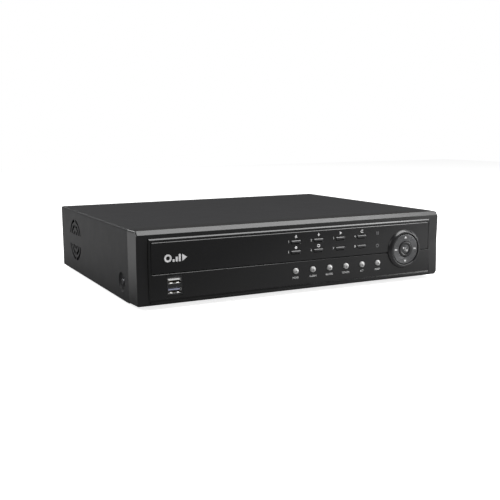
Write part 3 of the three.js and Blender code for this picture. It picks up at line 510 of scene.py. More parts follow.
class Solid:
    """A closed mesh in the case frame, in millimetres. Every method gives a new solid."""

    def __init__(self, mesh: bpy.types.Mesh) -> None:
        """Holds the mesh."""
        self.mesh = mesh

    # ---- made from nothing
    @classmethod
    def shell(cls, points: Iterable[Point], faces: Iterable[Sequence[int]]) -> "Solid":
        """A closed surface from its points and faces, turned to face outwards."""
        work = bmesh.new()
        vertices = [work.verts.new(p) for p in points]
        for face in faces:
            work.faces.new([vertices[i] for i in face])
        bmesh.ops.remove_doubles(work, verts=work.verts, dist=1e-4)
        bmesh.ops.recalc_face_normals(work, faces=work.faces)
        return cls._from_work(work)

    @classmethod
    def _from_work(cls, work: bmesh.types.BMesh) -> "Solid":
        """Turns an edited mesh into a solid."""
        mesh = bpy.data.meshes.new("work")
        work.to_mesh(mesh)
        work.free()
        return cls(mesh)

    @classmethod
    def loft(cls, loops: Sequence[Sequence[Point]], closed: bool = False) -> "Solid":
        """Joins loops of equally many points, one after another.

        Args:
            loops: the loops.
            closed: whether the last joins the first; otherwise both ends are filled.

        Returns:
            The solid.
        """
        size = len(loops[0])
        points = [p for loop in loops for p in loop]
        faces: list[list[int]] = []
        pairs = [(i, i + 1) for i in range(len(loops) - 1)] + ([(len(loops) - 1, 0)] if closed else [])
        for a, b in pairs:
            for i in range(size):
                j = (i + 1) % size
                faces.append([a * size + i, a * size + j, b * size + j, b * size + i])
        if not closed:
            faces.append(list(range(size)))
            faces.append([(len(loops) - 1) * size + i for i in range(size)])
        return cls.shell(points, faces)

    @classmethod
    def prism(cls, loop: Loop, axis: Axis, low: float, high: float) -> "Solid":
        """A section drawn out along an axis."""
        return cls.loft([[axis.point(a, b, t) for a, b in loop] for t in (low, high)])

    @classmethod
    def box(cls, low: Point, high: Point) -> "Solid":
        """A plain block, as a cutter or a start."""
        loop = [(low[0], low[2]), (high[0], low[2]), (high[0], high[2]), (low[0], high[2])]
        return cls.prism(loop, Axis.Y, low[1], high[1])

    @classmethod
    def rod(cls, radius: float, low: float, high: float, axis: Axis = Axis.Y, sides: int = 24) -> "Solid":
        """A plain rod along an axis, or a drill."""
        return cls.lathe([(0.0, low), (radius, low), (radius, high), (0.0, high)], axis, sides)

    @classmethod
    def tube(cls, inner: float, outer: float, low: float, high: float, sides: int = 48) -> "Solid":
        """A plain ring about the depth axis."""
        return cls.lathe([(inner, low), (outer, low), (outer, high), (inner, high)], sides=sides)

    @classmethod
    def group(cls, solids: Sequence["Solid"]) -> "Solid":
        """Several solids that don't meet, as one."""
        work = bmesh.new()
        for solid in solids:
            work.from_mesh(solid.mesh)
        return cls._from_work(work)

    @classmethod
    def lathe(cls, profile: Sequence[Pair], axis: Axis = Axis.Y, sides: int = 64) -> "Solid":
        """A turned piece.

        Args:
            profile: (radius, place along the axis) points, from axis to axis, or round a closed section.
            axis: what it turns about.
            sides: facets round it.

        Returns:
            The solid, about the origin.
        """
        points: list[Point] = []
        rings: list[list[int]] = []
        for radius, along in profile:
            start = len(points)
            count = 1 if radius < 1e-6 else sides
            for i in range(count):
                turn = 2.0 * math.pi * i / sides
                points.append(axis.point(radius * math.cos(turn), radius * math.sin(turn), along))
            rings.append([start + (i if count > 1 else 0) for i in range(sides)])
        pairs = list(zip(rings, rings[1:]))
        if profile[0][0] > 1e-6:
            pairs.append((rings[-1], rings[0]))
        faces = []
        for lower, upper in pairs:
            for i in range(sides):
                j = (i + 1) % sides
                face = list(dict.fromkeys([lower[i], lower[j], upper[j], upper[i]]))
                if len(face) > 2:
                    faces.append(face)
        return cls.shell(points, faces)

    @classmethod
    def lettering(cls, words: str, height: float, width: float | None, depth: float) -> "Solid":
        """Raised lettering that faces the front, centred on the origin.

        Args:
            words: what it says.
            height: of its capitals.
            width: of the whole line, or None for its natural width.
            depth: how far it stands up, towards the front, from y = 0.

        Returns:
            The solid.
        """
        text = bpy.data.curves.new("lettering", "FONT")
        text.body = words
        text.size = 1.0
        text.extrude = 0.1
        text.resolution_u = 3
        text.align_x = "CENTER"
        made = cls(_evaluated(bpy.data.objects.new("lettering", text)))
        low, high = made.limits()
        grow = height / (high.y - low.y)
        across = grow if width is None else width / (high.x - low.x)
        centre = (low + high) / 2.0
        turn = Matrix(((across, 0, 0, 0), (0, 0, -depth / 0.2, -depth / 2.0), (0, grow, 0, 0), (0, 0, 0, 1)))
        made.mesh.transform(turn @ Matrix.Translation((-centre.x, -centre.y, 0.0)))
        return made._outwards()

    # ---- made from another
    def limits(self) -> tuple[Vector, Vector]:
        """Its lowest and highest corners."""
        places = [v.co for v in self.mesh.vertices]
        return (
            Vector([min(p[i] for p in places) for i in range(3)]),
            Vector([max(p[i] for p in places) for i in range(3)]),
        )

    def _merged(self) -> "Solid":
        """The same without faces of no width, which a rounding leaves where it has no room."""
        work = bmesh.new()
        work.from_mesh(self.mesh)
        bmesh.ops.remove_doubles(work, verts=work.verts, dist=MERGE)
        bmesh.ops.dissolve_degenerate(work, edges=work.edges, dist=MERGE)
        return self._from_work(work)

    def _outwards(self) -> "Solid":
        """The same with its points merged and its faces turned outwards."""
        work = bmesh.new()
        work.from_mesh(self.mesh)
        bmesh.ops.remove_doubles(work, verts=work.verts, dist=1e-4)
        bmesh.ops.recalc_face_normals(work, faces=work.faces)
        return self._from_work(work)

    def placed(self, matrix: Matrix) -> "Solid":
        """Moved by a matrix that doesn't mirror."""
        mesh = self.mesh.copy()
        mesh.transform(matrix)
        return Solid(mesh)

    def moved(self, x: float = 0.0, y: float = 0.0, z: float = 0.0) -> "Solid":
        """Moved along the axes."""
        return self.placed(Matrix.Translation((x, y, z)))

    def at(self, x: float, z: float) -> "Solid":
        """Moved across the front, at its own depth."""
        return self.moved(x, 0.0, z)

    def turned(self, degrees: float, axis: Axis) -> "Solid":
        """Turned about an axis through the origin."""
        return self.placed(Matrix.Rotation(math.radians(degrees), 4, axis.value))

    def flipped(self, axis: Axis = Axis.X) -> "Solid":
        """Mirrored across the origin along an axis."""
        mesh = self.mesh.copy()
        mesh.transform(Matrix.Scale(-1.0, 4, [float(axis.value == name) for name in "XYZ"]))
        mesh.flip_normals()
        return Solid(mesh)

    def with_(self, *others: "Solid") -> "Solid":
        """Put together with others that it doesn't meet."""
        return self.group([self, *others])

    def _combined(self, operation: str, tools: Sequence["Solid"]) -> "Solid":
        """The result of a boolean operation with each tool in turn."""
        helpers = [bpy.data.objects.new("tool", tool.mesh) for tool in tools]
        for helper in helpers:
            bpy.context.scene.collection.objects.link(helper)
        body = bpy.data.objects.new("body", self.mesh)
        for helper in helpers:
            modifier = body.modifiers.new("combine", "BOOLEAN")
            modifier.operation = operation
            modifier.solver = "EXACT"
            modifier.object = helper
        mesh = _evaluated(body)
        for helper in helpers:
            bpy.data.objects.remove(helper)
        return Solid(mesh)

    def cut(self, *tools: "Solid") -> "Solid":
        """This without the tools."""
        return self._combined("DIFFERENCE", tools)

    def fused(self, *others: "Solid") -> "Solid":
        """This and the others as one body."""
        return self._combined("UNION", others)

    def rounded(self, width: float, steps: int = 2, angle: float = 32.0) -> "Solid":
        """With its edges rounded.

        Args:
            width: of the rounding.
            steps: facets in it.
            angle: the turn between two faces, in degrees, above which their edge is rounded.

        Returns:
            The solid.
        """
        body = bpy.data.objects.new("body", self.mesh)
        modifier = body.modifiers.new("round", "BEVEL")
        modifier.width = width
        modifier.segments = steps
        modifier.limit_method = "ANGLE"
        modifier.angle_limit = math.radians(angle)
        modifier.use_clamp_overlap = True
        return Solid(_evaluated(body))._merged()

    def marked(self, name: str, measure: Callable[[Vector], float]) -> "Solid":
        """With a number at each point, for a finish to read."""
        mesh = self.mesh.copy()
        attribute = mesh.attributes.new(name, "FLOAT", "POINT")
        attribute.data.foreach_set("value", [measure(v.co) for v in mesh.vertices])
        return Solid(mesh)

    # ---- finished
    def piece(
        self,
        name: str,
        finish: Finish,
        body: str = CASE,
        replaces: Sequence[str] = (),
        smooth: float = 34.0,
        crease: Callable[[Vector, Vector], bool] | None = None,
    ) -> bpy.types.Object:
        """Makes the finished piece.

        Args:
            name: of the piece.
            finish: of its surface.
            body: what it rides on.
            replaces: the frame's nodes that it stands for.
            smooth: faces that meet at less than this, in degrees, are shaded as one.
            crease: says which other edges stay crisp, from their two ends.

        Returns:
            The piece's object.
        """
        mesh = self.mesh.copy()
        mesh.shade_smooth()
        mesh.set_sharp_from_angle(angle=math.radians(smooth))
        if crease is not None:
            for edge in mesh.edges:
                first, second = (mesh.vertices[i].co for i in edge.vertices)
                if crease(first, second):
                    edge.use_edge_sharp = True
        mesh.transform(TO_ROW)
        mesh.materials.clear()
        mesh.materials.append(finish.material())
        draft = bpy.data.objects.new(name, mesh)
        modifier = draft.modifiers.new("even", "WEIGHTED_NORMAL")
        modifier.keep_sharp = True
        modifier.weight = 100
        final = _evaluated(draft)
        final.name = name
        made = bpy.data.objects.new(name, final)
        bpy.context.scene.collection.objects.link(made)
        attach(made, body)
        if replaces:
            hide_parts(*replaces)
        LOG.info("%-26s %6d faces on %s", name, len(final.polygons), body)
        return made


def _evaluated(body: bpy.types.Object) -> bpy.types.Mesh:
    """The mesh of an object with its modifiers applied; the object is removed."""
    bpy.context.scene.collection.objects.link(body)
    bpy.context.view_layer.update()
    graph = bpy.context.evaluated_depsgraph_get()
    mesh = bpy.data.meshes.new_from_object(body.evaluated_get(graph))
    bpy.data.objects.remove(body)
    return mesh


def case_box(node: str) -> tuple[Vector, Vector]:
    """A node's lowest and highest corners in the case frame."""
    low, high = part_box(node)
    return (low - CASE_ORIGIN) / MM, (high - CASE_ORIGIN) / MM


def case_centre(node: str) -> Vector:
    """The middle of a node in the case frame."""
    low, high = case_box(node)
    return (low + high) / 2.0


# ------------------------------------------------------------------ patterns
class Pattern(Enum):
    """How a shape is repeated."""

    ROW = "row"
    RING = "ring"


class Repeater:
    """Geometry-node trees that repeat the shape they are given, each built once."""

    INPUTS: dict[Pattern, tuple[tuple[str, str], ...]] = {
        Pattern.ROW: (("Count", "NodeSocketInt"), ("Start", "NodeSocketVector"), ("Step", "NodeSocketVector")),
        Pattern.RING: (("Count", "NodeSocketInt"), ("Centre", "NodeSocketVector"), ("Axis", "NodeSocketVector")),
    }
    _trees: dict[Pattern, bpy.types.NodeTree] = {}

    @classmethod
    def repeat(cls, shape: Solid, pattern: Pattern, finish: Finish, **values: object) -> Solid:
        """Repeats a shape.

        Args:
            shape: what is repeated, drawn about the origin.
            pattern: how.
            finish: of the copies.
            values: the tree's inputs, by name.

        Returns:
            All the copies as one solid.
        """
        if pattern not in cls._trees:
            cls._trees[pattern] = cls._build(pattern)
        tree = cls._trees[pattern]
        body = bpy.data.objects.new("pattern", shape.mesh.copy())
        modifier = body.modifiers.new("pattern", "NODES")
        modifier.node_group = tree
        sockets = {item.name: item.identifier for item in tree.interface.items_tree if item.in_out == "INPUT"}
        modifier[sockets["Finish"]] = finish.material()
        for name, value in values.items():
            modifier[sockets[name]] = value
        return Solid(_evaluated(body))

    @classmethod
    def row(cls, shape: Solid, finish: Finish, count: int, start: Point, step: Point) -> Solid:
        """Copies at equal steps along a line."""
        return cls.repeat(shape, Pattern.ROW, finish, Count=count, Start=start, Step=step)

    @classmethod
    def ring(cls, shape: Solid, finish: Finish, count: int) -> Solid:
        """Copies turned about the width axis."""
        return cls.repeat(shape, Pattern.RING, finish, Count=count, Centre=(0.0, 0.0, 0.0), Axis=(1.0, 0.0, 0.0))

    @classmethod
    def _build(cls, pattern: Pattern) -> bpy.types.NodeTree:
        """Builds one pattern's tree."""
        tree = bpy.data.node_groups.new(pattern.value, "GeometryNodeTree")
        tree.interface.new_socket("Geometry", in_out="INPUT", socket_type="NodeSocketGeometry")
        for name, kind in cls.INPUTS[pattern]:
            tree.interface.new_socket(name, in_out="INPUT", socket_type=kind)
        tree.interface.new_socket("Finish", in_out="INPUT", socket_type="NodeSocketMaterial")
        tree.interface.new_socket("Geometry", in_out="OUTPUT", socket_type="NodeSocketGeometry")
        graph = Graph(tree)
        entry = tree.nodes.new("NodeGroupInput")
        given = {socket.name: Wire(graph, socket) for socket in entry.outputs if socket.name}
        make = {Pattern.ROW: cls._row, Pattern.RING: cls._ring}[pattern]
        copies = graph.add("GeometryNodeRealizeInstances", {}, {"Geometry": make(graph, given)})
        dressed = graph.add("GeometryNodeSetMaterial", {}, {"Geometry": copies, "Material": given["Finish"]})
        graph.add("NodeGroupOutput", {}, {0: dressed})
        return tree

    @staticmethod
    def _row(graph: Graph, given: dict[str, Wire]) -> Wire:
        """Copies at equal steps along a line."""
        line = graph.add(
            "GeometryNodeMeshLine",
            {"mode": "OFFSET"},
            {"Count": given["Count"], "Start Location": given["Start"], "Offset": given["Step"]},
        )
        return graph.add("GeometryNodeInstanceOnPoints", {}, {"Points": line, "Instance": given["Geometry"]})

    @staticmethod
    def _ring(graph: Graph, given: dict[str, Wire]) -> Wire:
        """Copies turned about an axis."""
        points = graph.add("GeometryNodePoints", {}, {"Count": given["Count"], "Position": given["Centre"]})
        share = graph.add("GeometryNodeInputIndex") * (2.0 * math.pi) / given["Count"]
        turn = graph.add("FunctionNodeAxisAngleToRotation", {}, {"Axis": given["Axis"], "Angle": share})
        return graph.add(
            "GeometryNodeInstanceOnPoints",
            {},
            {"Points": points, "Instance": given["Geometry"], "Rotation": turn},
        )


# ------------------------------------------------------------------ shared small parts
def case_screw(head: float, height: float, length: float, shank: float = 1.5) -> Solid:
    """A pan-head case screw with a cross recess.

    Args:
        head: radius of its head.
        height: of its head, towards the front from y = 0.
        length: of its shank, behind y = 0.
        shank: radius of its shank.

    Returns:
        The screw, its axis along the depth.
    """
    crown = ((0.0, 1.0), (0.5, 0.97), (0.75, 0.82), (0.93, 0.5), (1.0, 0.2), (1.0, 0.0))
    profile = [(head * out, -height * up) for out, up in crown]
    profile += [(shank, 0.0), (shank, length), (0.0, length)]
    arm, thick = head * 0.52, head * 0.13
    blades = []
    for a, b in ((arm, thick), (thick, arm)):
        section = [(-a, -b), (a, -b), (a, b), (-a, b)]
        ends = ((-height - 1.0, 1.0), (-height * 0.35, 0.55))
        blades.append(Solid.loft([[(x * share, y, z * share) for x, z in section] for y, share in ends]))
    return Solid.lathe(profile, sides=40).cut(*blades)


@dataclass
class Print:
    """Thin printing laid on a face that looks to the front."""

    face: float
    thick: float = 0.06

    def words(self, text: str, x: float, z: float, height: float, width: float | None = None) -> Solid:
        """A line of lettering centred on a point."""
        return Solid.lettering(text, height, width, self.thick).moved(x, self.face, z)

    def shape(self, loop: Loop, x: float = 0.0, z: float = 0.0) -> Solid:
        """A filled outline."""
        return Solid.prism(loop, Axis.Y, self.face - self.thick, self.face).at(x, z)

    def hoop(self, outer: float, inner: float, x: float, z: float) -> Solid:
        """A flat ring."""
        return Solid.tube(inner, outer, self.face - self.thick, self.face, 40).at(x, z)


# ------------------------------------------------------------------ steel case
@dataclass
class SteelCase:
    """The folded steel lid and sides, the tray under them, their screws and the feet."""

    half: float = 162.5
    height: float = 65.0
    front: float = 19.3
    back: float = 250.0
    sheet: float = 1.0
    bend: float = 1.7
    rear_wall: float = 247.7
    lip_bottom: float = 56.0
    fan_depth: float = 194.0
    fan_height: float = 34.0
    grille_rings: tuple[float, ...] = (8.5, 14.4, 20.3)
    grille_slot: float = 3.2
    grille_post: float = 3.4
    grille_bar: float = 11.0
    dish_depth: float = 38.0
    dish_height: float = 16.0
    dish_outer: float = 8.9
    dish_floor: float = 5.5
    dish_sunk: float = 2.4
    side_vents: int = 7
    drill: float = 1.9
    disk_holes: Loop = field(default_factory=lambda: [(x, y) for x in (-34.28, -78.73) for y in (41.175, 136.425)])
    posts: Loop = field(default_factory=lambda: [(x, y) for x in (-140.0, 130.0) for y in (156.0, 216.0)])
    feet: dict[str, Pair] = field(default_factory=lambda: {
        f"foot_{end}_{side}": (x, y)
        for end, y in (("front", 46.0), ("rear", 224.0)) for side, x in (("left", -132.0), ("right", 132.0))
    })

    def build(self) -> None:
        """Builds every piece of the case."""
        self._cover()
        self._tray()
        self._screws()
        self._feet()

    def _section(self, half: float, top: float, radius: float) -> Loop:
        """The outline of the lid and sides, open below."""
        loop = [(half, -0.0)]
        for side in (1, -1):
            for step in range(9):
                turn = math.radians(90.0 * step / 8.0)
                along, up = (math.cos(turn), math.sin(turn)) if side > 0 else (-math.sin(turn), math.cos(turn))
                loop.append((side * (half - radius) + radius * along, top - radius + radius * up))
        loop.append((-half, 0.0))
        return loop

    def _arc_slot(self, radius: float) -> Solid:
        """One quarter of a ring of the grille, as a cutter about the fan's axis."""
        loop: Loop = []
        for bound, order in ((radius + self.grille_slot / 2.0, 1), (radius - self.grille_slot / 2.0, -1)):
            low = math.asin(self.grille_bar / 2.0 / bound)
            high = math.acos(self.grille_post / 2.0 / bound)
            turns = [low + (high - low) * i / 14.0 for i in range(15)][::order]
            loop += [(bound * math.cos(t), bound * math.sin(t)) for t in turns]
        return Solid.prism(loop, Axis.X, -self.half - 3.0, -self.half + 3.0)

    def _grille(self) -> list[Solid]:
        """Cutters for the grille: rings of slots, parted by an upright post and a wider level bar."""
        halves = []
        for radius in self.grille_rings:
            slot = self._arc_slot(radius)
            turned = Repeater.ring(slot, Shop.STEEL, 2)
            halves += [turned, turned.flipped(Axis.Z)]
        return [half.moved(0.0, self.fan_depth, self.fan_height) for half in halves]

    def _cover(self) -> None:
        """The lid and sides in one folded sheet."""
        outer = Solid.prism(self._section(self.half, self.height, self.bend), Axis.Y, self.front, self.back)
        inner_half = self.half - self.sheet
        hollow = self._section(inner_half, self.height - self.sheet, self.bend - self.sheet)
        inside = Solid.prism(
            [(x, z if z > 0.0 else -2.0) for x, z in hollow], Axis.Y, self.front - 1.0, self.back - self.sheet
        )
        under_lip = Solid.box((-inner_half, self.back - 3.0, -2.0), (inner_half, self.back + 1.0, self.lip_bottom))
        vent = Solid.prism(slot_loop(3.0, 28.0, (0.0, 32.0)), Axis.X, self.half - 2.0, self.half + 2.0)
        vents = Repeater.row(vent, Shop.STEEL, self.side_vents, (0.0, 171.5, 0.0), (0.0, 7.0, 0.0))
        holes = [Solid.rod(self.drill, 240.0, 252.0).at(x, RearPanel.SCREW_Z) for x in RearPanel.SCREW_XS]
        body = outer.cut(inside, under_lip, *self._grille(), vents, *holes)
        for side in (-1, 1):
            rim, floor, sunk = self.dish_outer, self.dish_floor, self.dish_sunk
            boss = Solid.lathe([(0.0, 0.4), (rim + 0.9, 0.4), (floor + 1.0, 3.4), (0.0, 3.4)], Axis.X, 48)
            wall = [(rim + 0.2, -1.0), (rim - 0.1, 0.15), (rim - 0.9, 1.1), (floor + 1.5, 1.75), (floor + 0.3, sunk)]
            bore = [(self.drill, sunk), (self.drill, 5.0)]
            dish = Solid.lathe([(0.0, -1.0), *wall, *bore, (0.0, 5.0)], Axis.X)
            if side > 0:
                boss, dish = boss.flipped(), dish.flipped()
            place = (side * self.half, self.dish_depth, self.dish_height)
            body = body.fused(boss.moved(*place)).cut(dish.moved(*place))
        body.rounded(0.22).piece("top_cover_folded", Shop.STEEL, replaces=["top_cover"])

    def _tray(self) -> None:
        """The floor with its front and rear walls."""
        half, top = self.half - self.sheet - 0.3, self.height - self.sheet - 0.3
        wall = self.rear_wall
        shell = Solid.box((-half, self.front, 0.0), (half, wall + self.sheet, top)).cut(
            Solid.box((-half - 1.0, self.front + self.sheet, self.sheet), (half + 1.0, wall, top + 1.0)),
        )
        lips = [
            Solid.box((side * half - (side > 0) * self.sheet, self.front + 0.5, 0.5),
                      (side * half + (side < 0) * self.sheet, wall + 0.5, 6.5))
            for side in (-1, 1)
        ]
        tab_x = self.half - self.dish_sunk - self.sheet - 0.3
        tab = rounded_loop((self.dish_depth - 9.0, 0.4), (self.dish_depth + 9.0, self.dish_height + 9.0), 3.0, 6)
        tabs = [Solid.prism(tab, Axis.X, *sorted((side * tab_x, side * (tab_x - 1.0)))) for side in (-1, 1)]
        bosses = [Solid.rod(4.5, 0.4, 3.7, Axis.Z, 32).moved(x, y) for x, y in self.disk_holes]
        posts = [Solid.rod(3.5, 0.4, 7.7, Axis.Z, 32).moved(x, y) for x, y in self.posts]
        body = shell.fused(*lips, *tabs, *bosses, *posts)
        cable = Solid.box((70.0, self.front - 1.0, 16.0), (110.0, self.front + 3.0, 34.0))
        drill = Solid.rod(self.drill, -2.0, 4.5, Axis.Z)
        foot_drill = Solid.rod(2.5, -2.0, 3.0, Axis.Z)
        side_drill = Solid.rod(self.drill, -170.0, 170.0, Axis.X)
        vent = Solid.prism(slot_loop(4.0, 60.0, (0.0, 90.0)), Axis.Z, -2.0, 3.0)
        vents = Repeater.row(vent, Shop.STEEL, 4, (52.0, 0.0, 0.0), (12.0, 0.0, 0.0))
        tools = [
            cable,
            vents,
            side_drill.moved(0.0, self.dish_depth, self.dish_height),
            *[drill.moved(x, y) for x, y in self.disk_holes],
            *[foot_drill.moved(x, y) for x, y in self.feet.values()],
            *RearPanel.openings(wall),
        ]
        body.cut(*tools).piece("base_tray_folded", Shop.STEEL, replaces=["base_tray"])

    def _screws(self) -> None:
        """Side, rear and disk screws, each turned its own way."""
        side = case_screw(3.4, 2.0, 5.5)
        face = self.half - self.dish_sunk + 0.1
        turned = {"cover_screw_left": (90.0, -face, 20.0), "cover_screw_right": (-90.0, face, 65.0)}
        for name, (turn, x, tilt) in turned.items():
            made = side.turned(tilt, Axis.Y).turned(-turn, Axis.Z).moved(x, self.dish_depth, self.dish_height)
            made.piece(f"{name}_pan_head", Shop.ZINC, replaces=[name])
        rear = case_screw(3.2, 1.9, 5.0).turned(180.0, Axis.Z)
        for label, x, tilt in zip(("left", "middle", "right"), RearPanel.SCREW_XS, (12.0, 50.0, 80.0)):
            made = rear.turned(tilt, Axis.Y).moved(x, self.back + 0.1, RearPanel.SCREW_Z)
            made.piece(f"rear_screw_{label}_pan_head", Shop.ZINC, replaces=[f"rear_screw_{label}"])
        disk = case_screw(3.0, 1.2, 7.0).turned(90.0, Axis.X)
        for index in range(len(self.disk_holes)):
            name = f"disk_screw_{index + 1}"
            centre = case_centre(name)
            made = disk.turned(31.0 * index, Axis.Z).moved(centre.x, centre.y, -0.1)
            made.piece(f"{name}_pan_head", Shop.ZINC, replaces=[name])

    def _feet(self) -> None:
        """Round rubber feet with a sunk middle, pressed into the floor."""
        profile = [
            (0.0, -3.3), (4.2, -3.3), (4.8, -3.9), (5.2, -4.0), (6.6, -4.0), (7.1, -3.75), (7.3, -3.3),
            (7.95, -0.6), (7.9, -0.25), (7.6, -0.1), (2.0, -0.1), (2.0, 2.4), (0.0, 2.4),
        ]
        foot = Solid.lathe(profile, Axis.Z, 48)
        for name, (x, y) in self.feet.items():
            foot.moved(x, y).piece(f"{name}_pad", Shop.RUBBER, replaces=[name])


# ------------------------------------------------------------------ bezel and front panel
@dataclass
class FrontBezel:
    """The moulded frame round the front: a sloping upper edge and cheeks with a faint waist."""

    half: float = 162.5
    depth: float = 19.0
    height: float = 65.0
    inset: float = 1.3
    bevel_drop: float = 3.5
    bevel_run: float = 3.0
    seat: tuple[float, float, float] = (151.2, 2.1, 58.2)
    seat_depth: float = 2.3
    waist: float = 36.2
    waist_sunk: float = 0.8
    corner: float = 1.8

    def build(self) -> None:
        """Builds the bezel."""
        def ring(y: float, low: float, high: float) -> list[Point]:
            """The outline at a depth."""
            half = self.half - self.inset * (1.0 - y / self.depth)
            return [(x, y, z) for x, z in rounded_loop((-half, low), (half, high), self.corner, 6)]

        face_top = self.height - self.bevel_drop
        outer = Solid.loft([
            ring(0.0, 2.0, face_top),
            ring(1.6, 0.0, face_top + self.bevel_drop * 1.6 / self.bevel_run),
            ring(self.bevel_run, 0.0, self.height),
            ring(self.depth, 0.0, self.height),
        ])
        seat_half, seat_low, seat_high = self.seat
        opening = rounded_loop((-seat_half, seat_low), (seat_half, seat_high), 0.9)
        seat = Solid.prism(opening, Axis.Y, BEFORE, self.seat_depth)
        through = Solid.box((-148.0, 0.0, 5.0), (148.0, 6.0, 55.0))
        cavity = Solid.box((-self.half + 2.6, 5.0, 2.4), (self.half - 2.6, self.depth + 1.0, self.height - 2.6))
        groove = [(-2.0, face_top), (0.0, face_top), (self.waist_sunk, self.waist), (0.0, seat_low), (-2.0, seat_low)]
        cheeks = [
            Solid.prism(groove, Axis.X, *sorted((side * (self.half + 1.0), side * seat_half))) for side in (-1, 1)
        ]
        body = outer.cut(seat, through, cavity, *cheeks).rounded(0.28, 3, 30.0)
        body.piece(
            "front_bezel_moulding", Shop.BEZEL, replaces=["front_bezel"], smooth=30.0,
            crease=lambda a, b: all(abs(end.z - self.waist) < 0.02 and end.y < 2.0 for end in (a, b)),
        )


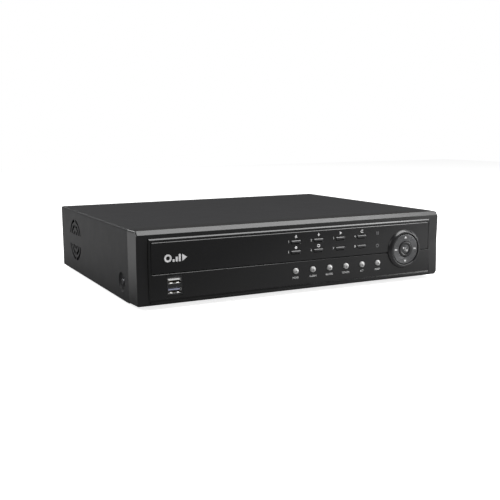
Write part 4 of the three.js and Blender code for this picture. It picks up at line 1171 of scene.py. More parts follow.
@dataclass
class FrontPanel:
    """The gloss plate set in the bezel, its tinted strip, the badge and the printing."""

    half: float = 150.9
    bottom: float = 2.4
    top: float = 57.9
    face: float = -1.0
    back: float = 2.0
    slope: float = 2.8
    chamfer: float = 1.1
    strip_thick: float = 1.0
    strip_proud: float = 0.3
    strip_rim: float = 0.5
    ledge: float = 0.6
    lip: tuple[float, float, float] = (0.5, 4.0, 5.1)
    gap: float = 0.3

    def openings(self, margin: float) -> list[Solid]:
        """Cutters for the keys and the navigation pad."""
        half, rise = ChannelKeys.HALF + margin, ChannelKeys.RISE + margin
        loops = [rounded_loop((x - half, z - rise), (x + half, z + rise), 0.7) for x, z in ChannelKeys.places()]
        nav = case_centre("nav_surround")
        loops.append(round_loop(NavigationPad.radius("nav_surround") - 1.0, (nav.x, nav.z), 96))
        return [Solid.prism(loop, Axis.Y, BEFORE, BEHIND) for loop in loops]

    def build(self) -> None:
        """Builds the plate, the strip, the badge and the printing."""
        def ring(y: float, half: float, low: float, high: float) -> list[Point]:
            """The plate's outline at a depth."""
            return [(x, y, z) for x, z in rounded_loop((-half, low), (half, high), 0.8)]

        plate = Solid.loft([
            ring(self.back, self.half, self.bottom, self.top),
            ring(self.face + self.chamfer, self.half, self.bottom, self.top),
            ring(self.face, self.half - 1.0, self.bottom + self.slope, self.top - self.chamfer),
        ])
        low, high = case_box("window_strip")
        recess_floor = self.face + self.strip_thick + self.gap
        recess = Solid.prism(node_loop("window_strip", self.gap, 1.2), Axis.Y, BEFORE, recess_floor)
        usb = Solid.prism(node_loop("usb_shell", self.gap, 0.8), Axis.Y, BEFORE, BEHIND)
        lamps = StatusLights.places()
        lens = Solid.prism(round_loop(StatusLights.RADIUS + self.gap, (0.0, lamps[0][1]), 40), Axis.Y, BEFORE, BEHIND)
        start, step = (lamps[0][0], 0.0, 0.0), (lamps[1][0] - lamps[0][0], 0.0, 0.0)
        lenses = Repeater.row(lens, Shop.PANEL, len(lamps), start, step)
        under, before = low.z - self.gap, self.face - 0.1
        slant = [(before, under - self.ledge), (before, under + 0.3), (self.face + self.ledge, under + 0.3)]
        ledge = Solid.prism(slant, Axis.X, low.x + 0.6, high.x - 0.6)
        proud, shoulder, foot = self.lip
        start, crest = self.bottom + 0.1, self.face - proud
        section = [(0.5, start), (crest, start), (crest, shoulder), (self.face, foot), (0.5, foot)]
        lip = Solid.prism(section, Axis.X, 1.2 - self.half, self.half - 1.2)
        plate.fused(lip).cut(recess, usb, lenses, ledge, *self.openings(0.3)).rounded(0.06, 2, 30.0).piece(
            "front_panel_plate", Shop.PANEL, replaces=["front_panel"], smooth=30.0
        )
        front, rim = self.face - self.strip_proud, self.strip_rim
        strip = Solid.loft([
            [(x, y, z) for x, z in node_loop("window_strip", -inset, 1.0)]
            for y, inset in ((self.face + self.strip_thick, 0.0), (front + rim, 0.0), (front, rim))
        ])
        half, rise = ChannelKeys.HALF - 0.3, ChannelKeys.RISE
        lips = [
            Solid.prism(
                [(front - 0.1, z - rise - 0.85), (front - 0.1, z - rise), (front + 0.55, z - rise)],
                Axis.X, x - half, x + half,
            )
            for x, z in ChannelKeys.places()
        ]
        strip.cut(*self.openings(0.3), *lips).rounded(0.06, 2, 30.0).piece(
            "window_strip_tinted", Shop.WINDOW, replaces=["window_strip"], smooth=30.0
        )
        self._badge()
        self._printing()

    def _badge(self) -> None:
        """A thin dark plate with a raised bright lens, three level bars and a play mark."""
        centre = case_centre("badge")
        base, top = self.face - self.strip_proud, self.face - 0.65
        plate = Solid.prism(node_loop("badge", 0.0, 1.0, 5), Axis.Y, base - 0.2, base + 0.05)
        plate.rounded(0.06, 2, 40.0).piece("badge_plate", Shop.WINDOW, replaces=["badge"])
        lens = Solid.tube(1.75, 3.4, top, base).at(-7.1, 0.0)
        levels = ((-1.9, -1.1), (0.9, 0.9), (3.7, 3.1))
        bars = [Solid.box((x - 0.95, top, -3.3), (x + 0.95, base, height)) for x, height in levels]
        play = Solid.prism([(6.0, -3.2), (10.6, 0.0), (6.0, 3.2)], Axis.Y, top, base)
        marks = lens.with_(*bars, play).rounded(0.12, 2, 40.0).at(centre.x, centre.z)
        marks.piece("badge_marks", Shop.SILVER)

    def _printing(self) -> None:
        """Key numbers and marks, light names and the two dim marks beside the keys."""
        ink, below = Print(self.face - self.strip_proud), Print(self.face)
        keys = ChannelKeys.places()
        marks = [ink.words(str(i + 1), x - 8.0, z + 0.4, 2.0) for i, (x, z) in enumerate(keys)]
        xs, z = [x for x, _ in keys], keys[0][1] + 4.9
        up = [(-1.3, -0.3), (1.3, -0.3), (0.0, 1.7)]
        down = [(x, -z) for x, z in up]
        marks += [
            ink.shape(up, xs[0], z), ink.shape(rounded_loop((-1.3, -1.35), (1.3, -0.75), 0.1, 2), xs[0], z),
            ink.shape(down, xs[1], z), ink.shape(rounded_loop((-0.4, 0.4), (0.4, 1.6), 0.1, 2), xs[1], z),
            ink.shape([(-1.0, -1.5), (1.5, 0.0), (-1.0, 1.5)], xs[2], z),
            ink.shape(rounded_loop((-1.5, 0.7), (1.5, 1.3), 0.2, 2), xs[3], z),
            ink.shape(rounded_loop((-1.5, -1.3), (1.5, -0.7), 0.2, 2), xs[3], z),
            ink.shape(rounded_loop((-1.5, -1.31), (-0.9, 1.31), 0.2, 2), xs[3], z),
            ink.shape(round_loop(1.35, sides=28), xs[4], keys[4][1] + 4.1),
            ink.hoop(1.6, 0.85, xs[5], keys[5][1] + 4.1),
        ]
        widths = (6.5, 7.7, 8.1, 8.2, 4.1, 5.9)
        marks += [
            below.words(name, x, z - 6.2, 1.75, width)
            for name, width, (x, z) in zip(StatusLights.NAMES, widths, StatusLights.places())
        ]
        Solid.group(marks).piece("front_marks", Shop.INK)
        beside = xs[3] + 18.5
        dim = [
            ink.shape(rounded_loop((-1.2, -1.6), (-0.45, 1.6), 0.1, 2), beside, keys[3][1] + 1.9),
            ink.shape(rounded_loop((0.45, -1.6), (1.2, 1.6), 0.1, 2), beside, keys[3][1] + 1.9),
            ink.hoop(1.7, 1.15, beside, keys[7][1] - 0.8),
        ]
        Solid.group(dim).piece("front_marks_dim", Shop.DIM_INK)


# ------------------------------------------------------------------ keys, lights and navigation pad
@dataclass
class ChannelKeys:
    """Eight thin keys in two rows, each with a sloping upper edge, its flange and its stem."""

    COUNT = 8
    HALF = 5.2
    RISE = 1.4
    front: float = -1.9

    @classmethod
    def places(cls) -> list[Pair]:
        """The keys' centres, in order."""
        centres = [case_centre(f"channel_key_{i + 1}") for i in range(cls.COUNT)]
        return [(centre.x, centre.z) for centre in centres]

    def _key(self) -> Solid:
        """One key about its own centre."""
        rings = [  # depth, then how far in at the sides, below and above, then the corners' radius
            (2.7, 0.0, 0.0, 0.0, 0.6),
            (self.front + 1.0, 0.0, 0.0, 0.0, 0.6),
            (self.front + 0.84, 0.05, 0.03, 0.1, 0.55),
            (self.front + 0.1, 0.22, 0.14, 0.92, 0.4),
            (self.front, 0.45, 0.32, 1.08, 0.35),
        ]
        half, rise = self.HALF, self.RISE
        cap = Solid.loft([
            [(x, y, z) for x, z in rounded_loop((-half + side, -rise + low), (half - side, rise - high), radius)]
            for y, side, low, high, radius in rings
        ])
        flange = Solid.box((-6.2, 2.3, -2.35), (6.2, 3.1, 2.35)).rounded(0.15)
        stem = Solid.box((-1.6, 2.5, -1.2), (1.6, 8.2, 1.2)).rounded(0.15)
        return cap.fused(flange, stem)

    def build(self) -> None:
        """Builds the keys."""
        key = self._key()
        for number, (x, z) in enumerate(self.places(), 1):
            node = f"channel_key_{number}"
            key.at(x, z).piece(f"{node}_cap", Shop.KEY, body=f"key_{number}", replaces=[node])


@dataclass
class StatusLights:
    """Six domed lenses, each with its light pipe, and the lamp showing through the crown."""

    NAMES = ("HDD", "ALARM", "RECORD", "NETWORK", "ACT", "POWER")
    NODES = ("disk", "alarm", "record", "network", "remote", "power")
    RADIUS = 2.8
    crown: float = -3.2
    skirt: float = -1.4
    lamp: Pair = (-0.45, -0.35)
    lamp_radius: float = 1.3

    @classmethod
    def places(cls) -> list[Pair]:
        """The lenses' centres, in order."""
        centres = [case_centre(f"status_lens_{node}") for node in cls.NODES]
        return [(centre.x, centre.z) for centre in centres]

    def build(self) -> None:
        """Builds the lenses."""
        rise = self.skirt - self.crown
        turns = [math.pi / 2.0 * i / 10.0 for i in range(11)]
        dome = [(self.RADIUS * math.sin(t), self.skirt - rise * math.cos(t)) for t in turns]
        skirt, flange = self.RADIUS, self.RADIUS + 0.8
        pipe = [(skirt, 2.3), (flange, 2.3), (flange, 3.0), (1.9, 3.0), (1.9, 13.2), (0.0, 13.2)]
        lens = Solid.lathe([*dome, *pipe], sides=40).marked("crown", self._lamp)
        for node, (x, z) in zip(self.NODES, self.places()):
            lens.at(x, z).piece(f"status_lens_{node}_dome", Shop.LENS, replaces=[f"status_lens_{node}"])

    def _lamp(self, point: Vector) -> float:
        """How strongly the lamp shows at a point of the lens: 1 over its middle, 0 past its rim and on the skirt."""
        away = math.hypot(point.x - self.lamp[0], point.z - self.lamp[1]) / self.lamp_radius
        return max(0.0, 1.0 - away) * (point.y < self.skirt)


@dataclass
class NavigationPad:
    """The round navigation pad: ring, tilting disc with four arrows, and the button in the middle."""

    arrow_at: float = 11.9
    fit: float = 0.4

    @staticmethod
    def radius(node: str) -> float:
        """The radius of one of the pad's round nodes."""
        low, high = case_box(node)
        return (high.x - low.x) / 2.0

    def __post_init__(self) -> None:
        """Reads the pad's place and sizes from the frame."""
        centre = case_centre("nav_surround")
        self.x, self.z = centre.x, centre.z
        self.outer = self.radius("nav_surround")
        self.disc = self.radius("nav_rocker")
        self.bore = self.disc + self.fit
        self.button = self.radius("nav_enter_button")
        self.hub = self.button + self.fit

    def build(self) -> None:
        """Builds the pad's pieces."""
        self._ring()
        self._disc()
        self._button()

    def _ring(self) -> None:
        """The surround, with a rolled rim."""
        bore, outer = self.bore, self.outer
        profile = [
            (outer, -1.3), (outer - 1.3, -1.3), (outer - 1.3, 3.0), (bore, 3.0), (bore, -3.7), (bore + 0.15, -4.15),
            (bore + 0.45, -4.42), (bore + 0.85, -4.5), (bore + 1.3, -4.42), (bore + 1.8, -4.15), (bore + 2.35, -3.65),
            (outer - 0.75, -2.8), (outer - 0.3, -2.1), (outer - 0.04, -1.6),
        ]
        Solid.lathe(profile, sides=120).at(self.x, self.z).piece(
            "nav_surround_ring", Shop.RING, replaces=["nav_surround"]
        )

    def _disc(self) -> None:
        """The tilting disc and its arrows."""
        finish = Shop.disc((self.x, self.z))
        hub, rim = self.hub, self.disc
        profile = [
            (hub, -1.2), (hub, -3.5), (hub + 0.1, -3.64), (hub + 0.35, -3.7), (rim - 0.9, -3.9), (rim - 0.5, -3.86),
            (rim - 0.22, -3.68), (rim - 0.05, -3.35), (rim, -3.0), (rim, -1.2),
        ]
        Solid.lathe(profile, sides=120).at(self.x, self.z).piece(
            "nav_disc", finish, body="nav_tilt_ud", replaces=["nav_rocker"]
        )
        face = -3.7 - 0.2 * (self.arrow_at - hub - 0.35) / (rim - hub - 1.25)
        ink = Print(face + 0.03, 0.12)
        arrow = [(-1.6, -1.05), (1.6, -1.05), (0.0, 1.3)]
        wide = [(-0.85, -1.0), (0.75, 0.0), (-0.85, 1.0)]
        marks = [
            ink.shape(arrow, self.x, self.z + self.arrow_at),
            ink.shape([(x, -z) for x, z in arrow], self.x, self.z - self.arrow_at),
        ]
        for side in (-1, 1):
            for step in (-0.75, 0.75):
                marks.append(ink.shape([(side * x, z) for x, z in wide], self.x + side * self.arrow_at + step, self.z))
        Solid.group(marks).piece("nav_disc_arrows", Shop.INK, body="nav_tilt_ud")
        Dresser.dress(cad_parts["nav_carrier"], Shop.BLACK)

    def _button(self) -> None:
        """The middle button: a dark rim round a satin cap with its mark."""
        edge = self.button
        rim = [
            (4.75, -3.72), (4.85, -3.95), (5.2, -4.1), (6.1, -4.19), (edge - 0.8, -4.18), (edge - 0.3, -4.02),
            (edge - 0.05, -3.7), (edge, -3.3), (edge, 1.0), (4.75, 1.0),
        ]
        Solid.lathe(rim, sides=96).at(self.x, self.z).piece(
            "nav_enter_rim", Shop.RING, body="enter_button", replaces=["nav_enter_button"]
        )
        cap = [
            (0.0, -3.98), (2.2, -3.95), (3.8, -3.86), (4.45, -3.75), (4.65, -3.55), (4.7, -3.2), (4.7, 1.4), (2.0, 1.4),
            (2.0, 8.2), (0.0, 8.2),
        ]
        Solid.lathe(cap, sides=64).at(self.x, self.z).piece(
            "nav_enter_cap", Shop.CAP, body="enter_button"
        )
        ink = Print(-3.86, 0.14)
        slash = Solid.prism([(-0.95, -1.9), (-0.5, -1.9), (0.95, 1.9), (0.5, 1.9)], Axis.Y, -4.0, -3.86)
        play = ink.shape([(-2.9, 0.1), (-0.9, 1.25), (-2.9, 2.4)])
        pause = [ink.shape(rounded_loop((left, -2.3), (left + 0.6, -0.2), 0.1, 2)) for left in (0.95, 2.1)]
        Solid.group([play, slash, *pause]).at(self.x, self.z).piece("nav_enter_mark", Shop.INK, body="enter_button")


# ------------------------------------------------------------------ data socket
@dataclass
class DataPorts:
    """The double data socket: a plated can, two tongues with their contacts, and the can's springs."""

    port_width: float = 12.6
    port_height: float = 5.4
    pitch: float = 8.6
    front: float = -0.6
    back: float = 13.2

    def __post_init__(self) -> None:
        """Reads the socket's place from the frame."""
        centre = case_centre("usb_shell")
        self.x, self.z = centre.x, centre.z

    def build(self) -> None:
        """Builds the socket's pieces."""
        heights = (self.z + self.pitch / 2.0, self.z - self.pitch / 2.0)
        outline = node_loop("usb_shell", 0.0, 0.7, 5)
        can = Solid.prism(outline, Axis.Y, self.front, self.back)
        tools = []
        for z in heights:
            port = window_loop(self.x, z, self.port_width, self.port_height, 0.35, 3)
            tools.append(Solid.prism(port, Axis.Y, BEFORE, 9.5))
            tools.append(Solid.box((self.x - 6.0, 9.0, z - 0.35), (self.x + 6.0, 14.5, z + 2.25)))
        can.cut(*tools).rounded(0.16, 2, 40.0).piece("data_socket_can", Shop.NICKEL, replaces=["usb_shell"])
        shroud = Solid.prism(outline, Axis.Y, self.front - 0.35, self.front)
        shroud.cut(*tools).rounded(0.14, 2, 40.0).piece("data_socket_shroud", Shop.BLACK)
        self._springs(heights)
        sorts = (("upper", heights[0], Shop.WHITE, 1.75), ("lower", heights[1], Shop.BLUE, 1.35))
        for label, z, finish, thick in sorts:
            tongue = Solid.box((self.x - 5.9, -0.45, z + 0.2), (self.x + 4.9, self.back, z + 0.2 + thick)).rounded(0.2)
            tongue.piece(f"data_tongue_{label}", finish, replaces=[f"usb_tongue_{label}"])
            strip = Solid.box((-0.6, 1.6, z - 0.13), (0.6, 9.0, z - 0.02)).rounded(0.04)
            contacts = Repeater.row(strip, Shop.GOLD, 4, (self.x - 3.75, 0.0, 0.0), (2.5, 0.0, 0.0))
            contacts.piece(f"data_contacts_{label}", Shop.GOLD)

    def _springs(self, heights: Sequence[float]) -> None:
        """Leaf springs pressed in from the can: two under each tongue and one at each side."""
        leaf = Solid.loft([
            [(side, y, z) for y, z in ((-0.55, -2.6), (0.15, -1.75), (1.4, -1.5), (4.4, -1.55), (6.5, -2.65))]
            for side in (-1.1, 1.1)
        ]).rounded(0.12)
        pairs = [
            Repeater.row(leaf, Shop.TIN, 2, (self.x - 3.1, 0.0, z), (6.2, 0.0, 0.0))
            for z in heights
        ]
        inner = self.x + self.port_width / 2.0
        side_leaves = [
            Solid.box((inner - 0.75, -0.5, z - 0.9), (inner - 0.1, 2.4, z + 2.2)).rounded(0.1) for z in heights
        ]
        lips = [
            Solid.box((self.x - 6.0, -0.5, z + low), (self.x + reach, 0.4, z + high)).rounded(0.08)
            for z in heights for low, high, reach in ((-2.65, -2.35, 6.0), (2.42, 2.62, 5.0))
        ]
        pairs[0].with_(pairs[1], *side_leaves, *lips).piece("data_socket_springs", Shop.TIN)


# ------------------------------------------------------------------ inside
class Dresser:
    """Gives the frame's own solids their finishes."""

    @staticmethod
    def dress(node: bpy.types.Object, finish: Finish) -> None:
        """Puts a finish in every slot of a node."""
        for slot in node.material_slots:
            slot.material = finish.material()
        if not node.material_slots:
            raise ValueError(f"{node.name} has no material slot")


@dataclass
class SideFan:
    """The fan behind the grille: a square frame with a round duct, a hub cup on struts, and the rotor."""

    x0: float = -161.0
    thick: float = 10.0
    y: float = 194.0
    z: float = 34.0
    half: float = 25.0
    bore: float = 23.7
    rotor: float = 22.8
    hub: float = 10.0
    rotor_x: float = -156.7
    strut_turn: float = -70.0

    def build(self) -> None:
        """Builds the frame and the rotor."""
        x1 = self.x0 + self.thick
        body = Solid.prism(rounded_loop((-self.half, -self.half), (self.half, self.half), 4.0, 6), Axis.X, self.x0, x1)
        duct = Solid.prism(round_loop(self.bore, sides=80), Axis.X, self.x0 - 1.0, x1 + 1.0)
        hole = Solid.prism(round_loop(2.15, (20.0, 20.0), 24), Axis.X, self.x0 - 1.0, x1 + 1.0)
        holes = Repeater.ring(hole, Shop.BLACK, 4)
        strut = Solid.prism([(-1.5, 0.0), (1.5, 0.0), (1.5, 24.2), (-1.5, 24.2)], Axis.X, x1 - 1.6, x1)
        strut = strut.turned(self.strut_turn, Axis.X)
        struts = Repeater.ring(strut, Shop.BLACK, 3)
        cup = Solid.prism(round_loop(self.hub, sides=48), Axis.X, x1 - 1.6, x1)
        moulding = body.cut(duct, holes).fused(cup, struts).rounded(0.25, 2, 40.0)
        moulding.moved(0.0, self.y, self.z).piece("fan_frame_moulding", Shop.BLACK, replaces=["fan_frame"])
        self._rotor()

    def _rotor(self) -> None:
        """Seven curved blades on a domed hub."""
        low, high = -3.9, 3.4
        hub = Solid.lathe([
            (0.0, low), (self.hub - 1.2, low), (self.hub - 0.3, low + 0.5), (self.hub, low + 1.3), (self.hub, high),
            (0.0, high),
        ], Axis.X, 48)
        loops = []
        for radius in (9.6, 12.5, 15.5, 18.5, 21.0, self.rotor):
            pitch = math.radians(46.0 - 0.95 * (radius - 9.6))
            half_chord = min(4.3, 3.1 / math.sin(pitch))
            sweep = 0.028 * (radius - 9.6)
            loop = []
            for side in (1, -1):
                for share in (-1.0, -0.5, 0.0, 0.5, 1.0)[::side]:
                    along = share * half_chord
                    thick = 0.55 * (1.0 - 0.72 * share * share)
                    bow = 0.55 * (1.0 - share * share)
                    x = along * math.sin(pitch) + (bow + side * thick) * math.cos(pitch) * 0.8
                    arc = along * math.cos(pitch) - (bow + side * thick) * math.sin(pitch) * 0.8
                    turn = arc / radius + sweep
                    loop.append((max(low + 0.1, min(high - 0.1, x)), radius * math.cos(turn), radius * math.sin(turn)))
            loops.append(loop)
        blade = Solid.loft(loops)
        blades = Repeater.ring(blade, Shop.BLACK, 7)
        hub.with_(blades).moved(self.rotor_x, self.y, self.z).piece(
            "fan_rotor_moulding", Shop.BLACK, body="fan_wheel", replaces=["fan_rotor"]
        )


class Interior:
    """What lies inside the case, seen through the vents: the frame's own solids with their finishes."""

    FINISHES: dict[str, Finish] = {
        "front_board": Shop.BOARD,
        "main_board": Shop.BOARD,
        "heatsink": Shop.ALLOY,
        "hard_disk": Shop.ALLOY,
        "ribbon_cable": Shop.RIBBON,
        "disk_lead": Shop.RED,
    }

    def build(self) -> None:
        """Dresses the solids."""
        for name, finish in self.FINISHES.items():
            Dresser.dress(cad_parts[name], finish)
            LOG.info("%-26s dressed in %s", name, finish.name)


# ------------------------------------------------------------------ rear panel
@dataclass
class RearPanel:
    """The sockets, the switch and the printing on the rear wall.

    Places are (x, z), then radius or width and height. The bodies of the sockets end at the depth inside and
    stand on the main board, at the height low.
    """

    VIDEO_XS = (118.0, 100.0, 82.0, 64.0)
    VIDEO_ROWS = (20.5, 43.5)
    OUT_X = 44.0
    AUDIO_XS = (24.0, 10.0)
    AUDIO_ROWS = (19.0, 41.0)
    VGA = (-22.0, 44.0)
    ETHERNET = (-22.0, 9.9, 16.0, 13.6)
    TERMINAL = (-62.0, 17.5, 32.0, 11.0)
    DC = (146.0, 18.0, 4.6)
    POWER = (146.0, 43.0, 15.0, 21.0)
    SCREW_XS = (-120.0, 0.0, 120.0)
    SCREW_Z = 60.3
    wall: float = 247.7
    back: float = 250.0
    inside: float = 246.6
    low: float = 9.9

    @classmethod
    def openings(cls, wall: float) -> list[Solid]:
        """Cutters through the rear wall, one for each socket, and the vents."""
        y0, y1 = wall - 1.0, wall + 2.5

        def hole(radius: float, x: float, z: float) -> Solid:
            """A round opening with room round its socket."""
            return Solid.prism(round_loop(radius + 0.3, (x, z), 48), Axis.Y, y0, y1)

        def window(x: float, z: float, width: float, height: float, radius: float = 0.6) -> Solid:
            """An opening with straight sides."""
            return Solid.prism(window_loop(x, z, width, height, radius), Axis.Y, y0, y1)

        videos = [(x, z) for x in cls.VIDEO_XS for z in cls.VIDEO_ROWS] + [(cls.OUT_X, cls.VIDEO_ROWS[1])]
        vent = Solid.prism(slot_loop(3.0, 32.0, (0.0, 32.0)), Axis.Y, y0, y1)
        x, z0, width, height = cls.ETHERNET
        return [
            *[hole(6.3, x, z) for x, z in videos],
            *[hole(5.0, x, z) for x in cls.AUDIO_XS for z in cls.AUDIO_ROWS],
            window(*cls.VGA, 26.0, 10.6, 1.5),
            window(x, z0 + height / 2.0, width + 0.8, height + 0.8),
            *[
                window(px, pz, wide + margin, tall + margin)
                for (px, pz, wide, tall), margin in ((cls.TERMINAL, 0.8), (cls.POWER, -1.2))
            ],
            hole(cls.DC[2], cls.DC[0], cls.DC[1]),
            *[hole(1.6, x, cls.SCREW_Z) for x in cls.SCREW_XS],
            Repeater.row(vent, Shop.STEEL, 7, (-147.5, 0.0, 0.0), (7.0, 0.0, 0.0)),
        ]

    def build(self) -> None:
        """Builds everything on the rear wall."""
        self._video()
        self._audio()
        self._monitor()
        self._network()
        self._terminals()
        self._power()
        self._printing()

    def _video(self) -> None:
        """Bayonet sockets: barrel with its pegs, hexagonal nut, white insulator, gold pin."""
        back, end, start = self.back, self.back + 15.0, 246.4
        barrel = Solid.lathe([
            (4.8, start), (4.8, back + 4.2), (4.55, back + 4.5), (4.55, back + 5.1), (4.8, back + 5.4),
            (4.8, end - 0.5), (4.6, end), (3.75, end), (3.55, end - 0.3), (3.55, end - 9.0), (1.6, end - 9.0),
            (1.6, start),
        ], sides=48)
        peg = Solid.lathe([(0.0, 4.2), (1.0, 4.2), (1.0, 5.7), (0.8, 5.9), (0.0, 5.9)], Axis.X, 20)
        peg = peg.moved(0.0, end - 6.0, 0.0)
        barrel = barrel.with_(peg, peg.flipped())
        nut = Solid.prism(round_loop(6.3, sides=6), Axis.Y, self.back + 0.4, self.back + 2.5).cut(
            Solid.prism(round_loop(4.86, sides=40), Axis.Y, self.back - 1.0, self.back + 4.0)
        ).rounded(0.2)
        washer = Solid.tube(4.86, 6.25, self.back - 1.0, self.back + 0.35)
        insulator = Solid.lathe([(r, end - y) for r, y in (
            (1.1, 9.0), (2.6, 9.0), (2.6, 3.2), (2.4, 3.0), (1.1, 3.0),
        )], sides=32)
        pin = Solid.lathe([(r, end - y) for r, y in (
            (0.45, 2.6), (0.95, 2.6), (1.05, 2.9), (1.05, 9.5), (0.0, 9.5), (0.0, 5.0), (0.45, 5.0),
        )], sides=24)
        groups = [(f"video_in_pair_{i + 1}", x, self.VIDEO_ROWS) for i, x in enumerate(self.VIDEO_XS)]
        groups.append(("video_out_socket", self.OUT_X, self.VIDEO_ROWS[1:]))
        for node, x, rows in groups:
            metal = []
            for z in rows:
                turned = nut.turned(14.0 * len(metal) + x, Axis.Y)  # no two nuts stop at the same angle
                metal += [part.at(x, z) for part in (barrel, turned, washer)]
            block = Solid.box((x - 7.6, 228.4, self.low), (x + 7.6, self.inside, rows[-1] + 8.4)).rounded(0.4)
            Solid.group(metal).piece(f"{node}_barrels", Shop.NICKEL, replaces=[node])
            block.piece(f"{node}_block", Shop.BLACK)
            for part, kind, finish in ((insulator, "insulators", Shop.WHITE), (pin, "pins", Shop.GOLD)):
                Solid.group([part.at(x, z) for z in rows]).piece(f"{node}_{kind}", finish)

    def _audio(self) -> None:
        """Round sockets: nickel barrel over a coloured insert."""
        end = self.back + 9.0
        barrel = Solid.lathe([
            (4.1, self.inside), (4.1, end - 0.4), (3.85, end), (3.45, end), (3.3, end - 0.3), (3.3, self.inside),
        ], sides=48)
        lip = self.back + 0.6
        flange = Solid.lathe([
            (4.15, self.inside), (5.0, self.inside), (5.0, self.back + 0.35), (4.75, lip), (4.15, lip),
        ], sides=48)
        insert = Solid.lathe([
            (1.6, end - 7.0), (1.6, end - 0.9), (3.25, end - 0.9), (3.25, 246.7), (1.2, 246.7), (1.2, end - 7.0),
        ], sides=40)
        places = [(x, z) for x in self.AUDIO_XS for z in self.AUDIO_ROWS]
        low, high = self.AUDIO_XS[1] - 6.6, self.AUDIO_XS[0] + 6.6
        block = Solid.box((low, 231.4, self.low), (high, 247.0, self.AUDIO_ROWS[1] + 7.0)).rounded(0.5)
        metal = [barrel.at(x, z) for x, z in places]
        Solid.group(metal).piece("audio_barrels", Shop.NICKEL, replaces=["audio_block"])
        flanges = [flange.at(x, z) for x, z in places]
        block.with_(*flanges).piece("audio_housing", Shop.BLACK)
        sorts = (("lower", Shop.WHITE), ("upper", Shop.RED_INSERT))
        for (label, finish), z in zip(sorts, self.AUDIO_ROWS):
            inserts = [insert.at(x, z) for x in self.AUDIO_XS]
            Solid.group(inserts).piece(f"audio_inserts_{label}", finish)

    def _monitor(self) -> None:
        """The monitor socket: flange, tapered shell, blue insulator with its holes, and two hexagonal posts."""
        x, z = self.VGA
        flange = Solid.prism(window_loop(x, z, 31.0, 12.6, 2.2, 6), Axis.Y, 249.0, 250.2)
        outline = [(-8.0, -4.1), (8.0, -4.1), (9.0, 4.1), (-9.0, 4.1)]
        shell = Solid.prism(outline, Axis.Y, 249.5, 255.6).rounded(1.4, 4).cut(
            Solid.prism([(a * 0.93, b * 0.86) for a, b in outline], Axis.Y, 251.0, 257.0).rounded(1.1, 4)
        ).at(x, z)
        core = Solid.prism([(a * 0.925, b * 0.85) for a, b in outline], Axis.Y, 250.6, 254.6).rounded(1.0, 3)
        drill = Solid.prism(round_loop(0.55, sides=12), Axis.Y, 253.4, 256.0)
        drills = [
            Repeater.row(drill, Shop.BLUE, 5, (-4.58 + shift, 0.0, height), (2.29, 0.0, 0.0))
            for height, shift in ((2.0, 0.0), (0.0, -1.15), (-2.0, 0.0))
        ]
        core = core.cut(*drills).at(x, z)
        post = Solid.prism(round_loop(2.7, sides=6), Axis.Y, 250.0, 254.5).cut(
            Solid.prism(round_loop(1.35, sides=20), Axis.Y, 251.5, 256.0)
        ).rounded(0.18)
        body = Solid.box((x - 12.0, 237.4, z - 5.0), (x + 12.0, 249.2, z + 5.0))
        posts = [post.at(x + side * 12.5, z) for side in (-1, 1)]
        flange.rounded(0.2).with_(shell, *posts).piece("monitor_socket_metal", Shop.NICKEL, replaces=["vga_socket"])
        core.piece("monitor_socket_core", Shop.BLUE)
        leg = Solid.box((x - 12.0, 237.4, 24.9), (x + 12.0, 245.4, z - 5.2))
        body.with_(leg).piece("monitor_socket_body", Shop.BLACK)

    def _network(self) -> None:
        """The network socket: a plated can with its latch notch, contacts and two small lamps."""
        x, z0, width, height = self.ETHERNET
        face = self.back + 0.6
        outline = rounded_loop((x - width / 2.0, z0), (x + width / 2.0, z0 + height), 0.6)
        can = Solid.prism(outline, Axis.Y, face - 20.0, face)
        cavity = Solid.box((x - 5.9, face - 11.0, z0 + 2.4), (x + 5.9, face + 1.0, z0 + 9.6))
        latch = Solid.box((x - 3.0, face - 8.0, z0 + 9.0), (x + 3.0, face + 1.0, z0 + 11.6))
        lamps = (("left", x - 5.9, Shop.GREEN_LAMP), ("right", x + 5.9, Shop.AMBER_LAMP))
        wells = [Solid.box((at - 1.4, face - 1.0, z0 + 10.6), (at + 1.4, face + 1.0, z0 + 12.4)) for _, at, _ in lamps]
        can.cut(cavity, latch, *wells).rounded(0.2).piece("network_socket_can", Shop.NICKEL, replaces=["ethernet_jack"])
        lining = Solid.box((x - 5.85, face - 10.9, z0 + 2.45), (x + 5.85, face - 0.25, z0 + 9.55)).cut(
            Solid.box((x - 5.4, face - 10.4, z0 + 2.9), (x + 5.4, face + 1.0, z0 + 9.7))
        )
        lining.piece("network_socket_lining", Shop.BLACK)
        wire = Solid.prism([(-10.0, 0.15), (-10.0, 0.5), (-1.2, 1.5), (-1.2, 1.15)], Axis.X, -0.18, 0.18)
        contacts = Repeater.row(wire, Shop.GOLD, 8, (x - 3.57, face, z0 + 2.9), (1.02, 0.0, 0.0))
        contacts.piece("network_socket_contacts", Shop.GOLD)
        for label, at, finish in lamps:
            lens = Solid.box((at - 1.3, face - 0.9, z0 + 10.7), (at + 1.3, face - 0.1, z0 + 12.3)).rounded(0.15)
            lens.piece(f"network_lamp_{label}", finish)

